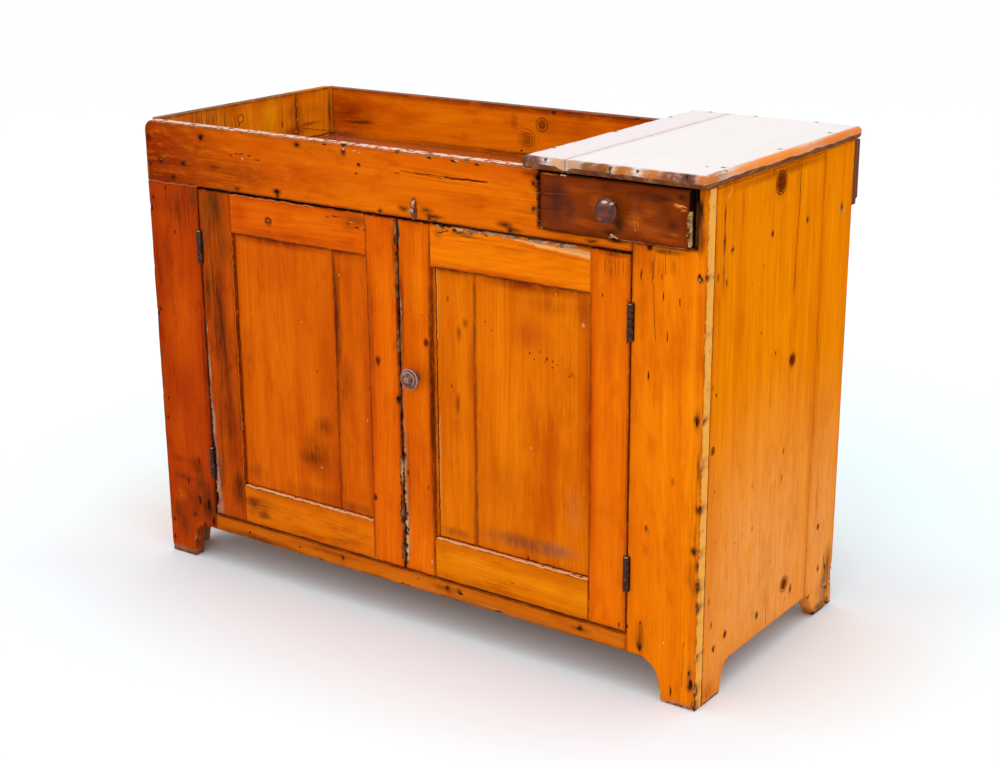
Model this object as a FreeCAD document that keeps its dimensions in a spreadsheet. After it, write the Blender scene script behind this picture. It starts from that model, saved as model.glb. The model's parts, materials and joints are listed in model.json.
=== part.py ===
import FreeCAD, Part
import os
import re
import Sketcher
from FreeCAD import Placement, Rotation, Vector

# A pine dry sink: a cupboard with two panelled doors, an open well on top and, at its right
# end, a small work top with a drawer under it.  Millimetres; +X runs to the right, +Y to the
# back and +Z up.  The origin lies on the floor, under the middle of all that stands on it:
# half way between the left side and the work top's right edge, and half way between the
# drawer's knob and the back of the well.

# ---------------------------------------------------------------------------------------
# Driving sizes
# ---------------------------------------------------------------------------------------

SIZES = {
    # case
    "case_width": (1220, "across the outside of both sides"),
    "case_depth": (524, "from the front of the face boards to the back edge of the sides"),
    "case_top": (885, "height of the sides"),
    "side_thick": (22, "thickness of the sides"),
    "side_front_share": (0.765, "share of a side that is its wide front board"),
    "housing": (6, "depth of the housings for the floors in the sides"),
    "arch_height": (54, "height of the opening under a side"),
    "front_foot_share": (0.1226, "share of a side's run that its front foot stands on"),
    "front_lean_share": (0.0279, "share of that run by which the front foot widens upwards"),
    "front_foot_round": (26, "rounding above the front foot"),
    "rear_foot_share": (0.1436, "share of a side's run that its rear foot stands on"),
    "rear_lean_share": (0.0718, "share of that run by which the rear foot widens upwards"),
    "rear_foot_round": (13, "rounding above the rear foot"),
    # floors and back
    "well_depth": (101, "depth of the well below the top of the sides"),
    "floor_thick": (22, "thickness of the sink floor and the cupboard bottom"),
    "floor_front_share": (0.4985, "share of the sides' run taken by the front board of a floor"),
    "back_thick": (16, "thickness of the upright back boards"),
    "back_lap": (12, "how far the back boards reach into the sides"),
    "back_low": (64, "height of the lower end of the back boards"),
    "back_joint": (0.8, "gap between neighbouring back boards"),
    "bearer_thick": (26, "thickness of the bearer under the back of the sink floor"),
    "bearer_height": (38, "height of that bearer"),
    "shelf_share": (0.508, "height of the shelf as a share of the cupboard's height"),
    "shelf_thick": (20, "thickness of the shelf"),
    "shelf_setback": (60, "distance from the shelf to the inside of the face boards"),
    "shelf_front_share": (0.4465, "share of the shelf that is its front board"),
    "cleat": (22, "width and height of the shelf cleats"),
    "shelf_ease": (1, "gap at each end of the shelf"),
    # face boards
    "face_thick": (22.5, "thickness of the face boards"),
    "left_stile": (130, "width of the left stile"),
    "right_stile": (135, "width of the right stile"),
    "drawer_strip": (19, "width of the right stile beside the drawer"),
    "rail_low": (74, "height of the underside of the bottom rail"),
    "rail_high": (107.5, "height of the top of the bottom rail and of the cupboard bottom"),
    "front_board_lap": (16, "reach of the front board below the floor of the well"),
    "front_board_drop": (1.5, "distance from the top of the sides down to the front board"),
    "front_board_corner": (20, "rounding of the front board's outer corner"),
    "front_board_joint": (0.8, "gap between the front board and the right stile"),
    "left_foot_floor": (66, "length of the left stile's foot on the floor"),
    "left_foot_lean": (8, "how far that foot widens upwards"),
    "left_foot_round": (27, "rounding above that foot"),
    "right_foot_floor": (67, "length of the right stile's foot on the floor"),
    "right_foot_lean": (11, "how far that foot widens upwards"),
    "right_foot_round": (40, "rounding above that foot"),
    # well
    "well_back_lap": (17, "reach of the well's back board below the floor of the well"),
    "well_back_drop": (2.5, "distance from the top of the sides down to the well's back board"),
    "well_back_thick": (21, "thickness of the well's back board"),
    "well_back_chamfer": (12, "chamfer along the well back's lower outer edge"),
    "well_end_thick": (16, "thickness of the board between the well and the drawer"),
    # work top
    "lid_thick": (22, "thickness of the work top"),
    "lid_over_well": (3, "overhang of the work top over the well"),
    "lid_over_side": (7, "overhang of the work top past the right side"),
    "lid_over_front": (22, "overhang of the work top past the face"),
    "lid_over_back": (14, "reach of the work top behind the sides"),
    "lid_narrow_board": (83, "width of the narrow left board of the work top"),
    "lid_joint": (0.6, "gap between the two boards of the work top"),
    "lid_corner": (10, "rounding of the work top's left corners"),
    "lid_right_corner": (9, "rounding of the work top's right corners"),
    "lid_edge_round": (8.5, "rounding along the edges of the work top"),
    # drawer
    "drawer_bay": (294, "clear width between the well end and the right side"),
    "drawer_open": (12, "how far the drawer stands open at rest"),
    "drawer_left_gap": (13, "gap between the well end and the drawer"),
    "drawer_right_gap": (5.5, "gap between the drawer and the right side"),
    "drawer_back_gap": (1, "gap behind the closed drawer"),
    "drawer_ride": (0.3, "running gap under the drawer"),
    "drawer_front_thick": (22, "thickness of the drawer front"),
    "drawer_front_lift": (3, "gap under the drawer front"),
    "drawer_top_gap": (4, "gap over the drawer front"),
    "drawer_side_thick": (12, "thickness of the drawer's sides and back"),
    "drawer_side_gap": (24.7, "gap over the drawer's sides"),
    "drawer_rabbet": (12, "depth of the rabbets in the drawer front"),
    "drawer_bottom_thick": (8, "thickness of the drawer bottom"),
    "drawer_bottom_up": (6, "height of the bottom above the lower edge of the drawer's sides"),
    "drawer_groove": (5, "depth of the grooves for the drawer bottom"),
    "guide_height": (14, "height of the guide strips beside the drawer"),
    "guide_gap": (0.4, "running gap between a guide strip and the drawer"),
    # doors
    "door_thick": (20, "thickness of the door frames"),
    "door_side_gap": (2.5, "gap beside the hinged edge of a door"),
    "door_meeting_gap": (3, "gap between the two doors"),
    "door_top_gap": (2.5, "gap over the doors"),
    "door_low_gap": (2, "gap under the doors"),
    "left_hinge_stile": (81.5, "width of the left door's hinge stile"),
    "left_lock_stile": (70.5, "width of the left door's lock stile"),
    "right_lock_stile": (69.5, "width of the right door's lock stile"),
    "right_hinge_stile": (75.5, "width of the right door's hinge stile"),
    "door_top_rail": (76.5, "height of the doors' top rails"),
    "door_low_rail": (78, "height of the doors' bottom rails"),
    "tenon_length": (42, "length of the rails' tenons"),
    "tenon_rise": (50, "height of the rails' tenons"),
    "groove_front": (6.5, "wood in front of the panel grooves"),
    "groove_wide": (7, "width of the panel grooves, mortises and tenons"),
    "groove_deep": (10, "depth of the panel grooves"),
    "panel_ease": (0.25, "play of a panel in the width of its groove"),
    "panel_shrink": (1.5, "play of a panel at the bottom of its groove"),
    "panel_field": (4, "thickness of the raised field on the back of a panel"),
    "panel_field_inset": (6, "distance from that field to the door frame"),
    "left_narrow_panel": (82, "visible width of the left door's narrow panel board"),
    "right_narrow_panel": (88.5, "visible width of the right door's narrow panel board"),
    "panel_joint": (0.5, "gap between the two boards of a panel"),
    # hinges
    "hinge_length": (60, "length of a butt hinge"),
    "upper_hinge_drop": (112.5, "distance from a door's top down to the upper hinge's middle"),
    "lower_hinge_rise": (107.5, "distance from a door's foot up to the lower hinge's middle"),
    "hinge_out": (2, "distance from the hinge axis to the face, in front of it"),
    "knuckle_radius": (5.5, "outer radius of the hinge barrel"),
    "pin_radius": (2.4, "radius of the hinge pin"),
    "pin_play": (0.06, "running clearance around the hinge pin"),
    "pin_head_radius": (3.8, "radius of the hinge pin's head"),
    "pin_head_height": (1.6, "height of the hinge pin's head"),
    "knuckle_gap": (0.4, "gap between neighbouring knuckles"),
    "barrel_gap": (0.5, "gap between the barrel and the notches in the wood"),
    "leaf_thick": (2.2, "thickness of a hinge leaf"),
    "leaf_reach": (18, "distance from the face to the inner edge of a hinge leaf"),
    "screw_spread": (21, "distance from the middle screw to the outer screws of a leaf"),
    "screw_inset": (10.5, "distance from the face to the hinge screws"),
    "screw_radius": (1.8, "radius of a hinge screw's shank"),
    "screw_head_radius": (3.6, "radius of a hinge screw's head"),
    "screw_length": (18, "length of a hinge screw"),
    "screw_slot": (0.9, "width of a screw's slot"),
    # knobs and button
    "drawer_knob_radius": (20.5, "largest radius of the drawer knob"),
    "drawer_knob_reach": (34, "projection of the drawer knob"),
    "drawer_knob_up_share": (0.543, "height of the drawer knob as a share of the drawer front"),
    "drawer_knob_share": (0.506, "place of the drawer knob as a share of the drawer's width"),
    "door_knob_radius": (19.5, "largest radius of the door knob"),
    "door_knob_reach": (30, "projection of the door knob"),
    "door_knob_share": (0.574, "height of the door knob as a share of the door"),
    "knob_stem_radius": (6, "radius of a knob's stem in its hole"),
    "knob_stem_play": (0.05, "gap around a knob's stem"),
    "button_rise": (16, "height of the turn button's screw above the front board's lower edge"),
    "button_inset": (39, "distance from the middle of the face to the turn button"),
    "button_upper": (22.5, "reach of the turn button's long arm"),
    "button_lower": (17.4, "reach of the turn button's short arm"),
    "button_width": (13, "width of the turn button"),
    "button_thick": (7, "thickness of the turn button"),
    "button_gap": (0.5, "gap between the turn button and the face"),
    "button_screw_radius": (2.2, "radius of the turn button's screw"),
    "button_screw_head": (4.6, "radius of that screw's head"),
    "button_screw_dome": (3, "height of that screw's head"),
    "button_screw_length": (18, "depth of that screw in the front board"),
    "button_play": (0.08, "running clearance around that screw"),
    # cut nails
    "nail_length": (40, "length of the nails"),
    "nail_wide": (4.6, "long side of a nail's head"),
    "nail_thin": (2.8, "short side of a nail's head"),
    "nail_tip": (1.4, "width of a nail's tip"),
    "small_nail_length": (24, "length of the drawer's nails"),
}

# Places that follow from the sizes above, as formulas.
PLACES = {
    # across
    "left_out": "-(case_width + lid_over_side) / 2",
    "right_out": "left_out + case_width",
    "case_middle": "left_out + case_width / 2",
    "left_in": "left_out + side_thick",
    "right_in": "right_out - side_thick",
    "floor_left": "left_in - housing",
    "floor_length": "case_width - 2 * side_thick + 2 * housing",
    "stile_edge_left": "left_out + left_stile",
    "stile_edge_right": "right_out - right_stile",
    "bay_left": "right_in - drawer_bay",
    "well_end_left": "bay_left - well_end_thick",
    "lid_left": "well_end_left - lid_over_well",
    "lid_width": "right_out + lid_over_side - lid_left",
    # front to back
    "face": "(drawer_open + drawer_knob_reach - case_depth - well_back_thick) / 2",
    "face_back": "face + face_thick",
    "side_back": "face + case_depth",
    "side_run": "case_depth - face_thick",
    "side_front_board": "side_front_share * side_run",
    "front_foot_floor": "front_foot_share * side_run",
    "front_foot_lean": "front_lean_share * side_run",
    "rear_foot_floor": "rear_foot_share * side_run",
    "rear_foot_lean": "rear_lean_share * side_run",
    "floor_front_board": "floor_front_share * side_run",
    "back_front": "side_back - back_thick",
    "shelf_front": "face_back + shelf_setback",
    "shelf_front_board": "shelf_front_share * (back_front - shelf_front)",
    # up
    "lid_low": "case_top",
    "sink_floor_top": "case_top - well_depth",
    "sink_floor_low": "sink_floor_top - floor_thick",
    "front_board_low": "sink_floor_top - front_board_lap",
    "front_board_high": "case_top - front_board_drop",
    "well_back_low": "sink_floor_top - well_back_lap",
    "well_back_high": "case_top - well_back_drop",
    "bottom_low": "rail_high - floor_thick",
    "shelf_top": "rail_high + shelf_share * (sink_floor_low - rail_high)",
    "shelf_low": "shelf_top - shelf_thick",
    # doors
    "door_low": "rail_high + door_low_gap",
    "door_height": "front_board_low - door_top_gap - door_low",
    "left_door_edge": "stile_edge_left + door_side_gap",
    "left_door_width": "case_middle - door_meeting_gap / 2 - left_door_edge",
    "right_door_edge": "case_middle + door_meeting_gap / 2",
    "right_door_width": "stile_edge_right - door_side_gap - right_door_edge",
    "panel_thick": "groove_wide - 2 * panel_ease",
    # hinges
    "left_axis": "stile_edge_left + door_side_gap / 2",
    "right_axis": "stile_edge_right - door_side_gap / 2",
    "axis_y": "face - hinge_out",
    "notch_radius": "knuckle_radius + barrel_gap",
    "knuckle": "hinge_length / 5",
    "upper_hinge": "door_low + door_height - upper_hinge_drop",
    "lower_hinge": "door_low + lower_hinge_rise",
    # drawer
    "drawer_left": "bay_left + drawer_left_gap",
    "drawer_face": "face - drawer_open",
    "drawer_length": "case_depth - drawer_back_gap",
    "drawer_low": "sink_floor_top + drawer_ride",
    "drawer_width": "drawer_bay - drawer_left_gap - drawer_right_gap",
    "drawer_front_height": "well_depth - drawer_front_lift - drawer_top_gap",
    "drawer_side_height": "well_depth - drawer_ride - drawer_side_gap",
    "drawer_side_start": "drawer_face + drawer_front_thick - drawer_rabbet",
    "drawer_side_run": "drawer_length - drawer_front_thick + drawer_rabbet",
    "drawer_knob_right": "drawer_knob_share * drawer_width",
    "drawer_knob_up": "drawer_knob_up_share * drawer_front_height",
    "drawer_knob_x": "drawer_left + drawer_knob_right",
    "drawer_front_low": "sink_floor_top + drawer_front_lift",
    "drawer_knob_z": "drawer_front_low + drawer_knob_up",
    "door_knob_x": "right_door_edge + right_lock_stile / 2",
    "door_knob_height": "door_low + door_knob_share * door_height",
    "button_height": "front_board_low + button_rise",
}

doc = FreeCAD.newDocument("dry_sink")
sheet = doc.addObject("Spreadsheet::Sheet", "Size")
for row, (alias, (amount, meaning)) in enumerate(SIZES.items(), start=1):
    sheet.set(f"A{row}", meaning)
    sheet.set(f"B{row}", str(amount))
    sheet.setAlias(f"B{row}", alias)
doc.recompute()

NAME = re.compile(r"[a-z_][a-z_0-9]*")
parts = {}


def formula(text):
    """A sheet expression for a formula written with the names above."""
    def spelled_out(match):
        name = match.group()
        if name in SIZES:
            return "Size." + name
        if name in PLACES:
            return "(" + formula(PLACES[name]) + ")"
        return name
    return NAME.sub(spelled_out, str(text))


def number(text):
    return float(sheet.evalExpression(formula(text)))


def tie(thing, prop, text):
    thing.setExpression(prop, formula(text))


def place(thing, low):
    for axis, text in zip("xyz", low):
        tie(thing, f"Placement.Base.{axis}", text)


def keep(label, thing):
    """Give a finished piece its name and list it for writing."""
    thing.Label = label
    parts[label] = thing
    return thing


# ---------------------------------------------------------------------------------------
# Ways of making a piece
# ---------------------------------------------------------------------------------------

def plain_board(low, extent):
    box = doc.addObject("Part::Box", "Board")
    for side, text in zip(("Length", "Width", "Height"), extent):
        tie(box, side, text)
    place(box, low)
    return box


def new_body(low=("0", "0", "0")):
    body = doc.addObject("PartDesign::Body", "Body")
    place(body, low)
    return body


def new_sketch(body, plane, start):
    """Sketch on an origin plane of the body, moved `start` along the plane's own axis."""
    sketch = body.newObject("Sketcher::SketchObject", "Sketch")
    role = plane + "_Plane"
    support = next(item for item in body.Origin.OriginFeatures if item.Role == role)
    sketch.AttachmentSupport = (support, "")
    sketch.MapMode = "FlatFace"
    turned = "-" if plane == "XZ" else ""
    tie(sketch, "AttachmentOffset.Base.z", f"{turned}({start})")
    return sketch


def fix_point(sketch, curve, end, spot):
    for kind, text in zip(("DistanceX", "DistanceY"), spot):
        rule = Sketcher.Constraint(kind, -1, 1, curve, end, number(text))
        tie(sketch, f"Constraints[{sketch.addConstraint(rule)}]", text)


def draw_outline(sketch, corners):
    spots = [Vector(number(across), number(up), 0) for across, up in corners]
    count = len(spots)
    for index in range(count):
        line = Part.LineSegment(spots[index], spots[(index + 1) % count])
        sketch.addGeometry(line)
    for index in range(count):
        sketch.addConstraint(Sketcher.Constraint("Coincident", index, 2, (index + 1) % count, 1))
    for index, corner in enumerate(corners):
        fix_point(sketch, index, 1, corner)


def draw_circles(sketch, centres, radius):
    for index, centre in enumerate(centres):
        middle = Vector(number(centre[0]), number(centre[1]), 0)
        sketch.addGeometry(Part.Circle(middle, Vector(0, 0, 1), number(radius)))
        fix_point(sketch, index, 3, centre)
        rule = Sketcher.Constraint("Radius", index, number(radius))
        tie(sketch, f"Constraints[{sketch.addConstraint(rule)}]", radius)


def pad(body, plane, start, depth, corners=None, centres=None, radius=None):
    """Add a straight-sided or round block that runs `depth` along +X, +Y or +Z."""
    return _extrude(body, "Pad", plane, start, depth, corners, centres, radius)


def pocket(body, plane, start, depth, corners=None, centres=None, radius=None):
    """Take away such a block, and make sure that it did remove wood."""
    doc.recompute()
    before = body.Tip.Shape.Volume
    feature = _extrude(body, "Pocket", plane, start, depth, corners, centres, radius)
    doc.recompute()
    if not feature.Shape.Volume < before - 1e-3:
        raise ValueError(f"{feature.Name} removes nothing")
    return feature


def _extrude(body, kind, plane, start, depth, corners, centres, radius):
    sketch = new_sketch(body, plane, start)
    if corners:
        draw_outline(sketch, corners)
    else:
        draw_circles(sketch, centres, radius)
    feature = body.newObject("PartDesign::" + kind, kind)
    feature.Profile = sketch
    feature.Reversed = (plane == "XZ") == (kind == "Pad")
    tie(feature, "Length", depth)
    return feature


def rectangle(low_across, low_up, width, height):
    right = f"{low_across} + {width}"
    top = f"{low_up} + {height}"
    return [(low_across, low_up), (right, low_up), (right, top), (low_across, top)]


def turn(body, plane, corners, axis):
    """Turn a half profile about one axis of its own sketch."""
    sketch = new_sketch(body, plane, "0")
    draw_outline(sketch, corners)
    feature = body.newObject("PartDesign::Revolution", "Turning")
    feature.Profile = sketch
    feature.ReferenceAxis = (sketch, [axis])
    feature.Angle = 360
    return feature


def ease_edges(body, kind, size, spots):
    """Fillet or chamfer the edges whose centres of mass lie at the given spots."""
    doc.recompute()
    base = body.Tip
    targets = [Vector(*[number(text) for text in spot]) for spot in spots]
    names = [
        f"Edge{index}"
        for index, edge in enumerate(base.Shape.Edges, start=1)
        if any((edge.CenterOfMass - target).Length < 0.01 for target in targets)
    ]
    if len(names) != len(spots):
        raise ValueError(f"{body.Name}: {len(names)} of {len(spots)} edges found")
    feature = body.newObject("PartDesign::" + kind, kind)
    feature.Base = (base, names)
    tie(feature, "Radius" if kind == "Fillet" else "Size", size)
    return feature


def linked(template, low, turned=Rotation()):
    """One more copy of a piece, placed by formulas."""
    link = doc.addObject("App::Link", "Copy")
    link.LinkedObject = template
    link.Placement = Placement(Vector(), turned)
    place(link, low)
    return link


def group(things):
    bundle = doc.addObject("Part::Compound", "Group")
    bundle.Links = things
    return bundle


def drilled(blank, *tools):
    """Cut the exact shape of nails or screws out of a board."""
    for tool in tools:
        cut = doc.addObject("Part::Cut", "Drilled")
        cut.Base = blank
        cut.Tool = tool
        blank = cut
    return blank


# ---------------------------------------------------------------------------------------
# Nails
# ---------------------------------------------------------------------------------------

def nail_template(length):
    """A cut nail: flat wedge with its head at the origin, driven towards +Y."""
    nail = doc.addObject("Part::Wedge", "Nail")
    for low, high, size in (("Xmin", "Xmax", "nail_wide"), ("Zmin", "Zmax", "nail_thin"),
                            ("X2min", "X2max", "nail_tip"), ("Z2min", "Z2max", "nail_tip")):
        tie(nail, low, f"-{size} / 2")
        tie(nail, high, f"{size} / 2")
    tie(nail, "Ymin", "0")
    tie(nail, "Ymax", length)
    return nail


TO_BACK = Rotation()
TO_FRONT = Rotation(Vector(0, 0, 1), 180)
TO_LEFT = Rotation(Vector(0, 0, 1), 90)
TO_RIGHT = Rotation(Vector(0, 0, 1), -90)
DOWN = Rotation(Vector(1, 0, 0), -90)

long_nail = nail_template("nail_length")
small_nail = nail_template("small_nail_length")


def nails(template, turned, spots):
    return group([linked(template, spot, turned) for spot in spots])


LEFT_EDGE = "left_out + side_thick / 2"
RIGHT_EDGE = "right_out - side_thick / 2"
SINK_FLOOR_LINE = "sink_floor_low + 0.55 * floor_thick"
BOTTOM_LINE = "bottom_low + 0.36 * floor_thick"
WELL_END_LINE = "well_end_left + well_end_thick / 2"

# Face nails: where each one sits across the face and up it.
front_board_nails = [(f"left_out + {share} * case_width", SINK_FLOOR_LINE)
                     for share in (0.274, 0.47, 0.558, 0.696)]
front_board_nails += [(LEFT_EDGE, f"case_top - {share} * well_depth") for share in (0.3, 0.84)]
front_board_nails += [(WELL_END_LINE, f"case_top - {share} * well_depth")
                      for share in (0.28, 0.69)]
stile_nails = [(LEFT_EDGE, f"{share} * front_board_low") for share in (0.09, 0.375, 0.668, 0.957)]
stile_nails += [(RIGHT_EDGE, f"{share} * front_board_low") for share in (0.055, 0.375, 0.668, 0.966)]
stile_nails += [("stile_edge_left - 0.46 * left_stile", BOTTOM_LINE),
                ("stile_edge_right + 0.19 * right_stile", BOTTOM_LINE)]
rail_nails = [(f"left_out + {share} * case_width", BOTTOM_LINE)
              for share in (0.376, 0.579, 0.601, 0.813)]
face_spots = [(x, "face", z) for x, z in front_board_nails + stile_nails + rail_nails]
face_nails = keep("face_nails", nails(long_nail, TO_BACK, face_spots))

side_levels = [(f"face + {share} * case_depth", SINK_FLOOR_LINE)
               for share in (0.153, 0.414, 0.66, 0.918)]
side_levels += [(f"face + {share} * case_depth", BOTTOM_LINE)
                for share in (0.113, 0.412, 0.658, 0.878)]
left_side_nails = nails(long_nail, TO_RIGHT, [("left_out", y, z) for y, z in side_levels])
right_side_nails = nails(long_nail, TO_LEFT, [("right_out", y, z) for y, z in side_levels])
side_nails = keep("side_nails", group([left_side_nails, right_side_nails]))

LID_TOP = "lid_low + lid_thick"
lid_rows = [(across, f"face + {share} * case_depth")
            for across in (RIGHT_EDGE, WELL_END_LINE)
            for share in (0.115, 0.48, 0.84)]
lid_rows += [(f"lid_left + {share} * lid_width", "side_back + 0.3 * well_back_thick")
             for share in (0.13, 0.4, 0.75)]
lid_nails = keep("lid_nails", nails(long_nail, DOWN, [(x, y, LID_TOP) for x, y in lid_rows]))

BACK_BOARD_COUNT = 4
BACK_PITCH = f"(case_width - 2 * side_thick + 2 * back_lap) / {BACK_BOARD_COUNT}"
back_spots = []
for index in range(BACK_BOARD_COUNT):
    for share in (0.2, 0.8):
        across = f"left_in - back_lap + ({index} + {share}) * {BACK_PITCH}"
        for level in (BOTTOM_LINE, "sink_floor_low - bearer_height / 2"):
            back_spots.append((across, "side_back", level))
WELL_BACK_OUT = "side_back + well_back_thick"
for across in (LEFT_EDGE, RIGHT_EDGE):
    back_spots += [(across, WELL_BACK_OUT, f"case_top - {share} * well_depth")
                   for share in (0.25, 0.79)]
back_spots += [(f"left_out + {share} * case_width", WELL_BACK_OUT,
                "sink_floor_top - 0.14 * floor_thick")
               for share in (0.25, 0.5)]
back_nails = keep("back_nails", nails(long_nail, TO_FRONT, back_spots))

# ---------------------------------------------------------------------------------------
# Case sides
# ---------------------------------------------------------------------------------------

SEAM = "side_front_board"
ARCH_FRONT = "front_foot_floor + front_foot_lean"
ARCH_REAR = "side_run - rear_foot_floor - rear_foot_lean"


def side_board(label, left, front):
    """One of the two boards of a side; local Y starts behind the face boards."""
    body = new_body(("left_out" if left else "right_in", "face_back", "0"))
    if front:
        edge = [("0", "0"), ("front_foot_floor", "0"), (ARCH_FRONT, "arch_height"),
                (SEAM, "arch_height"), (SEAM, "case_top"), ("0", "case_top")]
        rounding = "front_foot_round"
        corner = ARCH_FRONT
        low, high = "0", SEAM
    else:
        edge = [(SEAM, "arch_height"), (ARCH_REAR, "arch_height"),
                ("side_run - rear_foot_floor", "0"), ("side_run", "0"),
                ("side_run", "case_top"), (SEAM, "case_top")]
        rounding = "rear_foot_round"
        corner = ARCH_REAR
        low, high = SEAM, "side_run"
    pad(body, "YZ", "0", "side_thick", edge)
    ease_edges(body, "Fillet", rounding, [("side_thick / 2", corner, "arch_height")])
    inner = "side_thick - housing" if left else "0"
    wide = f"{high} - ({low})"
    # The cupboard bottom stops in front of the back boards, the sink floor runs right through.
    bottom_end = high if front else "side_run - back_thick"
    bottom_wide = f"{bottom_end} - ({low})"
    pocket(body, "YZ", inner, "housing", rectangle(low, "sink_floor_low", wide, "floor_thick"))
    pocket(body, "YZ", inner, "housing", rectangle(low, "bottom_low", bottom_wide, "floor_thick"))
    if not front:
        rabbet = "side_thick - back_lap" if left else "0"
        rise = "sink_floor_low - back_low"
        channel = rectangle("side_run - back_thick", "back_low", "back_thick", rise)
        pocket(body, "YZ", rabbet, "back_lap", channel)
    own_nails = left_side_nails if left else right_side_nails
    tools = [own_nails, face_nails] if front else [own_nails, back_nails]
    if not left:
        tools.append(lid_nails)
    return keep(label, drilled(body, *tools))


side_board("left_side_front_board", True, True)
side_board("left_side_rear_board", True, False)
side_board("right_side_front_board", False, True)
side_board("right_side_rear_board", False, False)

# ---------------------------------------------------------------------------------------
# Hinge template and the hinge cuts in the wood
# ---------------------------------------------------------------------------------------

# Both leaves are drawn about the hinge axis: the leaf lies towards +X and +Y of it.
LEAF_FROM = "door_side_gap / 2"
LEAF_START = "knuckle_radius + barrel_gap"
LEAF_END = "hinge_out + leaf_reach"
NECK_START = "1.2 * (pin_radius + pin_play)"


def hinge_leaf(knuckles):
    body = new_body()
    low = "-hinge_length / 2"
    plate = rectangle(LEAF_FROM, LEAF_START, "leaf_thick", f"{LEAF_END} - ({LEAF_START})")
    pad(body, "XY", low, "hinge_length", plate)
    run = "knuckle - knuckle_gap"
    for index in knuckles:
        start = f"{low} + {index} * knuckle + knuckle_gap / 2"
        neck = rectangle(LEAF_FROM, NECK_START, "leaf_thick", f"{LEAF_START} - ({NECK_START})")
        pad(body, "XY", start, run, neck)
        pad(body, "XY", start, run, centres=[("0", "0")], radius="knuckle_radius")
    bore = "pin_radius + pin_play"
    pocket(body, "XY", f"{low} - pin_head_height", "hinge_length + 2 * pin_head_height",
           centres=[("0", "0")], radius=bore)
    holes = [("hinge_out + screw_inset", f"{step} * screw_spread") for step in (-1, 0, 1)]
    pocket(body, "YZ", LEAF_FROM, "leaf_thick", centres=holes, radius="screw_radius")
    rims = [(LEAF_FROM, across, up) for across, up in holes]
    ease_edges(body, "Chamfer", "screw_head_radius - screw_radius", rims)
    return body


def screw_template():
    """Countersunk screw along +X, its flat head at the origin."""
    body = new_body()
    cone = "screw_head_radius - screw_radius"
    profile = [("0", "0"), ("0", "screw_head_radius"), (cone, "screw_radius"),
               ("0.78 * screw_length", "screw_radius"), ("screw_length", "0.2 * screw_radius"),
               ("screw_length", "0")]
    turn(body, "XY", profile, "H_Axis")
    slot = rectangle("-screw_slot / 2", "-screw_head_radius", "screw_slot", "2 * screw_head_radius")
    pocket(body, "YZ", "0", "screw_slot", slot)
    return body


case_leaf = hinge_leaf((0, 2, 4))
door_leaf = hinge_leaf((1, 3))
screw = screw_template()
OTHER_WAY = Rotation(Vector(0, 1, 0), 180)
HINGE_LEVELS = ("upper_hinge", "lower_hinge")


def leaves(template, axis, turned):
    return [linked(template, (axis, "axis_y", level), turned) for level in HINGE_LEVELS]


def hinge_screws(axis, turned):
    """The six screws of one leaf per hinge level; they point away from the hinge axis."""
    sign = "-" if turned is OTHER_WAY else "+"
    across = f"{axis} {sign} {LEAF_FROM}"
    return [
        linked(screw, (across, "face + screw_inset", f"{level} + {step} * screw_spread"), turned)
        for level in HINGE_LEVELS
        for step in (-1, 0, 1)
    ]


left_case_screws = group(hinge_screws("left_axis", OTHER_WAY))
right_case_screws = group(hinge_screws("right_axis", Rotation()))
left_door_screws = keep("left_door_hinge_screws", group(hinge_screws("left_axis", Rotation())))
right_door_screws = keep("right_door_hinge_screws", group(hinge_screws("right_axis", OTHER_WAY)))
keep("case_hinge_screws", group([left_case_screws, right_case_screws]))
keep("case_hinge_leaves", group(leaves(case_leaf, "left_axis", OTHER_WAY)
                                + leaves(case_leaf, "right_axis", Rotation())))
keep("left_door_hinge_leaves", group(leaves(door_leaf, "left_axis", Rotation())))
keep("right_door_hinge_leaves", group(leaves(door_leaf, "right_axis", OTHER_WAY)))


def hinge_pin():
    body = new_body()
    low = "-hinge_length / 2"
    pad(body, "XY", low, "hinge_length", centres=[("0", "0")], radius="pin_radius")
    pad(body, "XY", "hinge_length / 2", "pin_head_height",
        centres=[("0", "0")], radius="pin_head_radius")
    ease_edges(body, "Fillet", "pin_head_height * 0.8",
               [("0", "0", "hinge_length / 2 + pin_head_height")])
    return body


pin = hinge_pin()
keep("hinge_pins", group([linked(pin, (axis, "axis_y", level))
                          for axis in ("left_axis", "right_axis") for level in HINGE_LEVELS]))


def hinge_cuts(body, edge, into, lift="0"):
    """Seats for the leaves, and round notches for the barrels, in a stile's hinged edge.

    `edge` is where that edge lies across the stile, `into` is + or - for the way into the
    wood and `lift` is the height of the stile's lower end.  Local Y starts at the face.
    """
    start = edge if into == "+" else f"{edge} - leaf_thick"
    outward = "-" if into == "+" else "+"
    axis = f"{edge} {outward} door_side_gap / 2"
    for level in HINGE_LEVELS:
        low = f"{level} - {lift} - hinge_length / 2"
        seat = rectangle("0", low, "leaf_reach", "hinge_length")
        pocket(body, "YZ", start, "leaf_thick", seat)
        pocket(body, "XY", f"{low} - barrel_gap", "hinge_length + 2 * barrel_gap + pin_head_height",
               centres=[(axis, "-hinge_out")], radius="notch_radius")


# ---------------------------------------------------------------------------------------
# Face boards
# ---------------------------------------------------------------------------------------

def left_stile():
    body = new_body(("left_out", "face", "0"))
    edge = [("0", "0"), ("left_foot_floor", "0"), ("left_foot_floor + left_foot_lean", "rail_low"),
            ("left_stile", "rail_low"), ("left_stile", "front_board_low"), ("0", "front_board_low")]
    pad(body, "XZ", "0", "face_thick", edge)
    ease_edges(body, "Fillet", "left_foot_round",
               [("left_foot_floor + left_foot_lean", "face_thick / 2", "rail_low")])
    hinge_cuts(body, "left_stile", "-")
    return keep("left_stile", drilled(body, left_case_screws, face_nails))


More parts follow.
